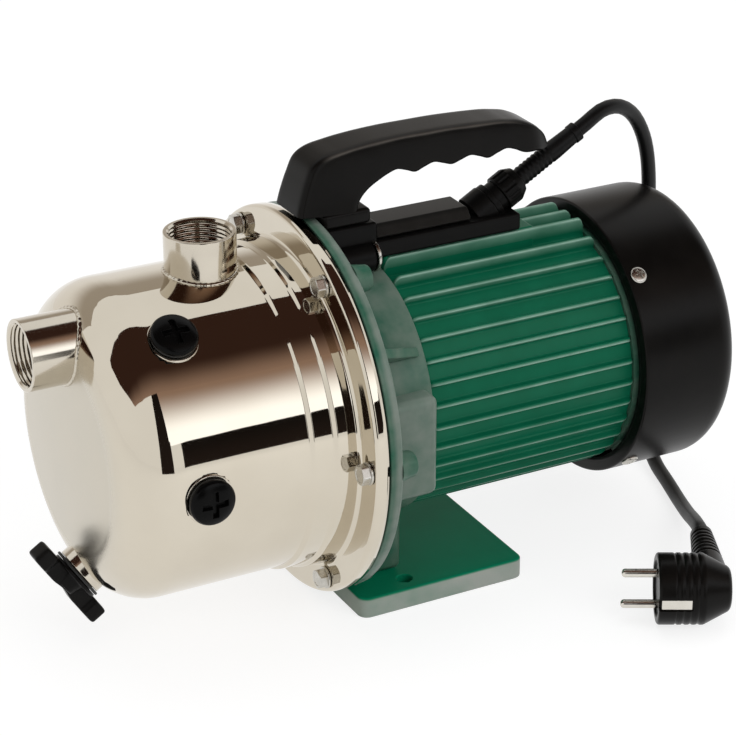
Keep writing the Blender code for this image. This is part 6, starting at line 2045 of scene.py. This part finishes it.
@dataclass
class Studio:
    """The pale floor, the soft lights, the flags that the polished steel mirrors, and the camera."""

    azimuth: float = -28.44
    elevation: float = 25.18
    roll: float = 0.17
    target: Point = (-0.005, 0.0, 0.112)
    distance: float = 1.4176
    lens: float = 126.31
    shift: Pair = (-0.0255, 0.0110)
    ambient: float = 0.60
    key_power: float = 6.0
    fill_power: float = 6.0
    floor_half: float = 8.0
    paint: float = 0.82
    glow: float = 1.27
    glow_share: float = 0.62
    ceiling: Pair = (1.15, 1.163)
    wall_tones: tuple[Colour, Colour] = ((0.020, 0.014, 0.012), (0.010, 0.008, 0.007))

    def camera(self) -> None:
        """Set the camera at the photograph's viewing angle."""
        turn, rise, roll = (math.radians(value) for value in (self.azimuth, self.elevation, self.roll))
        right = np.array((math.cos(turn), math.sin(turn), 0.0))
        back = np.array((math.sin(turn) * math.cos(rise), -math.cos(turn) * math.cos(rise), math.sin(rise)))
        up = np.cross(back, right)
        placing = np.eye(4)
        placing[:3, 0] = right * math.cos(roll) + up * math.sin(roll)
        placing[:3, 1] = up * math.cos(roll) - right * math.sin(roll)
        placing[:3, 2] = back
        placing[:3, 3] = np.asarray(self.target) + back * self.distance
        data = bpy.data.cameras.new("photo_camera")
        data.lens = self.lens
        data.sensor_width = 36.0
        data.shift_x, data.shift_y = self.shift
        data.clip_start, data.clip_end = 0.05, 60.0
        camera = bpy.data.objects.new("photo_camera", data)
        camera.matrix_world = Matrix(placing.tolist())
        bpy.context.scene.collection.objects.link(camera)
        bpy.context.scene.camera = camera

    @staticmethod
    def seen(sheet: ShaderSheet) -> Signal:
        """Give 1 for camera, glossy and transmission rays and 0 for the others.

        Args:
            sheet: the node tree to add to.

        Returns:
            The share of seen rays.
        """
        rays = sheet.node("ShaderNodeLightPath")
        seen = Signal(sheet, rays.outputs["Is Camera Ray"]) + Signal(sheet, rays.outputs["Is Glossy Ray"])
        return (seen + Signal(sheet, rays.outputs["Is Transmission Ray"])).at_most(1.0)

    def world(self) -> None:
        """Make the world: white to look at, softer as light."""
        world = bpy.data.worlds.new("studio_world")
        bpy.context.scene.world = world
        sheet = ShaderSheet(world)
        strength = self.seen(sheet) * (1.0 - self.ambient) + self.ambient
        light = sheet.node("ShaderNodeBackground", {}, {"Color": (1.0, 1.0, 1.0, 1.0), "Strength": strength})
        sheet.node("ShaderNodeOutputWorld", {}, {0: light.outputs[0]})

    @staticmethod
    def panel(name: str, corners: Sequence[Point], shader: Callable[[ShaderSheet], bpy.types.Node]) -> Piece:
        """Make a flat stage panel.

        Args:
            name: its name.
            corners: its corners in the row frame.
            shader: makes its shader node.

        Returns:
            The panel.
        """
        mesh = bpy.data.meshes.new(name)
        mesh.from_pydata([tuple(corner) for corner in corners], [], [tuple(range(len(corners)))])
        material = bpy.data.materials.new(name)
        sheet = ShaderSheet(material)
        sheet.node("ShaderNodeOutputMaterial", {}, {0: shader(sheet).outputs[0]})
        mesh.materials.append(material)
        panel = bpy.data.objects.new(name, mesh)
        bpy.context.scene.collection.objects.link(panel)
        return panel

    def card(self, name: str, corners: Sequence[Point], low: Colour, high: Colour, axis: str,
             span: Pair) -> None:
        """Hang a card that only mirrors show, its tone running along an axis.

        Args:
            name: its name.
            corners: its corners in the row frame.
            low: its tone at the span's start.
            high: its tone at the span's end.
            axis: the axis that the tone runs along.
            span: where the tone starts and ends.
        """

        def shader(sheet: ShaderSheet) -> bpy.types.Node:
            """Glow from one tone to the other."""
            place = sheet.node("ShaderNodeTexCoord").outputs["Object"]
            parts = sheet.node("ShaderNodeSeparateXYZ", {}, {0: place})
            share = sheet.node("ShaderNodeMapRange", {"interpolation_type": "SMOOTHSTEP"},
                               {"Value": parts.outputs[axis], "From Min": span[0], "From Max": span[1]})
            tone = sheet.blend(Signal(sheet, share.outputs[0]), low, high)
            return sheet.node("ShaderNodeEmission", {}, {"Color": tone, "Strength": 1.0})

        card = self.panel(name, corners, shader)
        card.visible_camera = card.visible_diffuse = card.visible_shadow = card.visible_transmission = False

    def floor(self) -> None:
        """Lay the floor: half paint that takes shadows, half glow, so that it reads white."""

        def shader(sheet: ShaderSheet) -> bpy.types.Node:
            """Mix paint and glow."""
            grey = (self.paint, self.paint, self.paint, 1.0)
            paint = sheet.node("ShaderNodeBsdfDiffuse", {}, {"Color": grey})
            white = (1.0, 1.0, 1.0, 1.0)
            glow = sheet.node("ShaderNodeEmission", {}, {"Color": white, "Strength": self.glow})
            share = self.seen(sheet) * self.glow_share
            return sheet.node("ShaderNodeMixShader", {}, {0: share, 1: paint.outputs[0], 2: glow.outputs[0]})

        far = self.floor_half
        self.panel("studio_floor", [(-far, -far, 0), (far, -far, 0), (far, far, 0), (-far, far, 0)], shader)

    @staticmethod
    def lamp(name: str, place: Point, aim: Point, size: Pair, power: float) -> None:
        """Hang a soft rectangular lamp that neither the camera nor mirrors show.

        Args:
            name: its name.
            place: its middle.
            aim: the point it faces.
            size: its width and height.
            power: its power in watts.
        """
        data = bpy.data.lights.new(name, "AREA")
        data.shape = "RECTANGLE"
        data.size, data.size_y = size
        data.energy = power
        lamp = bpy.data.objects.new(name, data)
        away = unit(np.asarray(place) - np.asarray(aim))
        side = unit(np.cross((0.0, 0.0, 1.0), away))
        placing = np.eye(4)
        placing[:3, :3] = np.stack([side, np.cross(away, side), away], 1)
        placing[:3, 3] = place
        lamp.matrix_world = Matrix(placing.tolist())
        lamp.visible_glossy = lamp.visible_camera = False
        bpy.context.scene.collection.objects.link(lamp)

    def wall(self, name: str, span: Pair, reach: float, height: Pair, count: int) -> None:
        """Stand a bent dark wall round the object, as a row of cards.

        Args:
            name: the wall's name.
            span: the angles where it starts and ends.
            reach: its distance.
            height: its lowest and highest edge.
            count: the number of cards.
        """
        turn = np.radians(np.linspace(*span, count + 1))
        foot = reach * np.stack([np.cos(turn), np.sin(turn)], 1)
        low, high = height
        for number, ((x1, y1), (x2, y2)) in enumerate(zip(foot, foot[1:])):
            corners = [(x1, y1, low), (x2, y2, low), (x2, y2, high), (x1, y1, high)]
            self.card(f"{name}_{number + 1}", corners, *self.wall_tones, "Z", height)

    def build(self) -> None:
        """Set up the whole studio."""
        bpy.context.scene.view_settings.view_transform = "Standard"
        self.camera()
        self.world()
        self.floor()
        top, window = self.ceiling
        self.card("dark_ceiling",
                  [(-1.7, -0.86, top), (2.4, -0.86, top), (2.4, 0.07, top), (-1.7, 0.25, top)],
                  (0.34, 0.22, 0.165), (0.042, 0.020, 0.014), "Y", (-0.90, -0.42))
        self.card("bright_window",
                  [(-0.22, -1.62, 0.55), (1.9, -1.62, 0.55), (1.9, -0.84, window), (-0.22, -0.84, window)],
                  (1.75, 1.78, 1.85), (0.36, 0.235, 0.175), "Z", (0.70, 1.14))
        self.card("dim_back", [(-1.8, 1.7, 0.10), (3.2, 1.7, 0.10), (3.2, 1.7, 1.75), (-1.8, 1.7, 1.75)],
                  (0.95, 0.93, 0.91), (0.45, 0.40, 0.345), "Z", (0.45, 1.20))
        self.wall("dark_wall", (-79.0, -42.0), 1.66, (0.06, 0.55), 8)
        self.wall("dark_stand", (-118.0, -95.0), 1.55, (0.02, 2.30), 5)
        self.lamp("key_softbox", (0.45, -1.30, 0.98), (-0.05, 0.0, 0.15), (0.95, 0.62), self.key_power)
        self.lamp("top_fill", (0.2, 0.3, 1.9), (0.0, 0.0, 0.1), (1.6, 1.6), self.fill_power)
        LOG.info("studio ready")


def main() -> None:
    """Build the studio and every sub-assembly in order, and dress the kept CAD nodes."""
    logging.basicConfig(level=logging.INFO, format="%(message)s")
    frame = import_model()
    Studio().build()
    assemblies = [
        MainsLead(), Casing(), ScrewPlug("fill_plug", FILL_ANGLE, Body.FILL_SCREW, Body.FILL_SEAL),
        ScrewPlug("gauge_plug", GAUGE_ANGLE, Body.GAUGE_SCREW, Body.GAUGE_SEAL), DrainPlug(), FlangeBolts(),
        MotorBracket(), FootPlate(), MotorHousing(), FanCover(), TerminalBox(), CarryHandle(), CableEntry(),
    ]
    made = [piece for assembly in assemblies for piece in assembly.build()]
    InnerParts(frame["nodes"]).dress()
    LOG.info("%d pieces made", len(made))


if __name__ == "__main__":
    main()
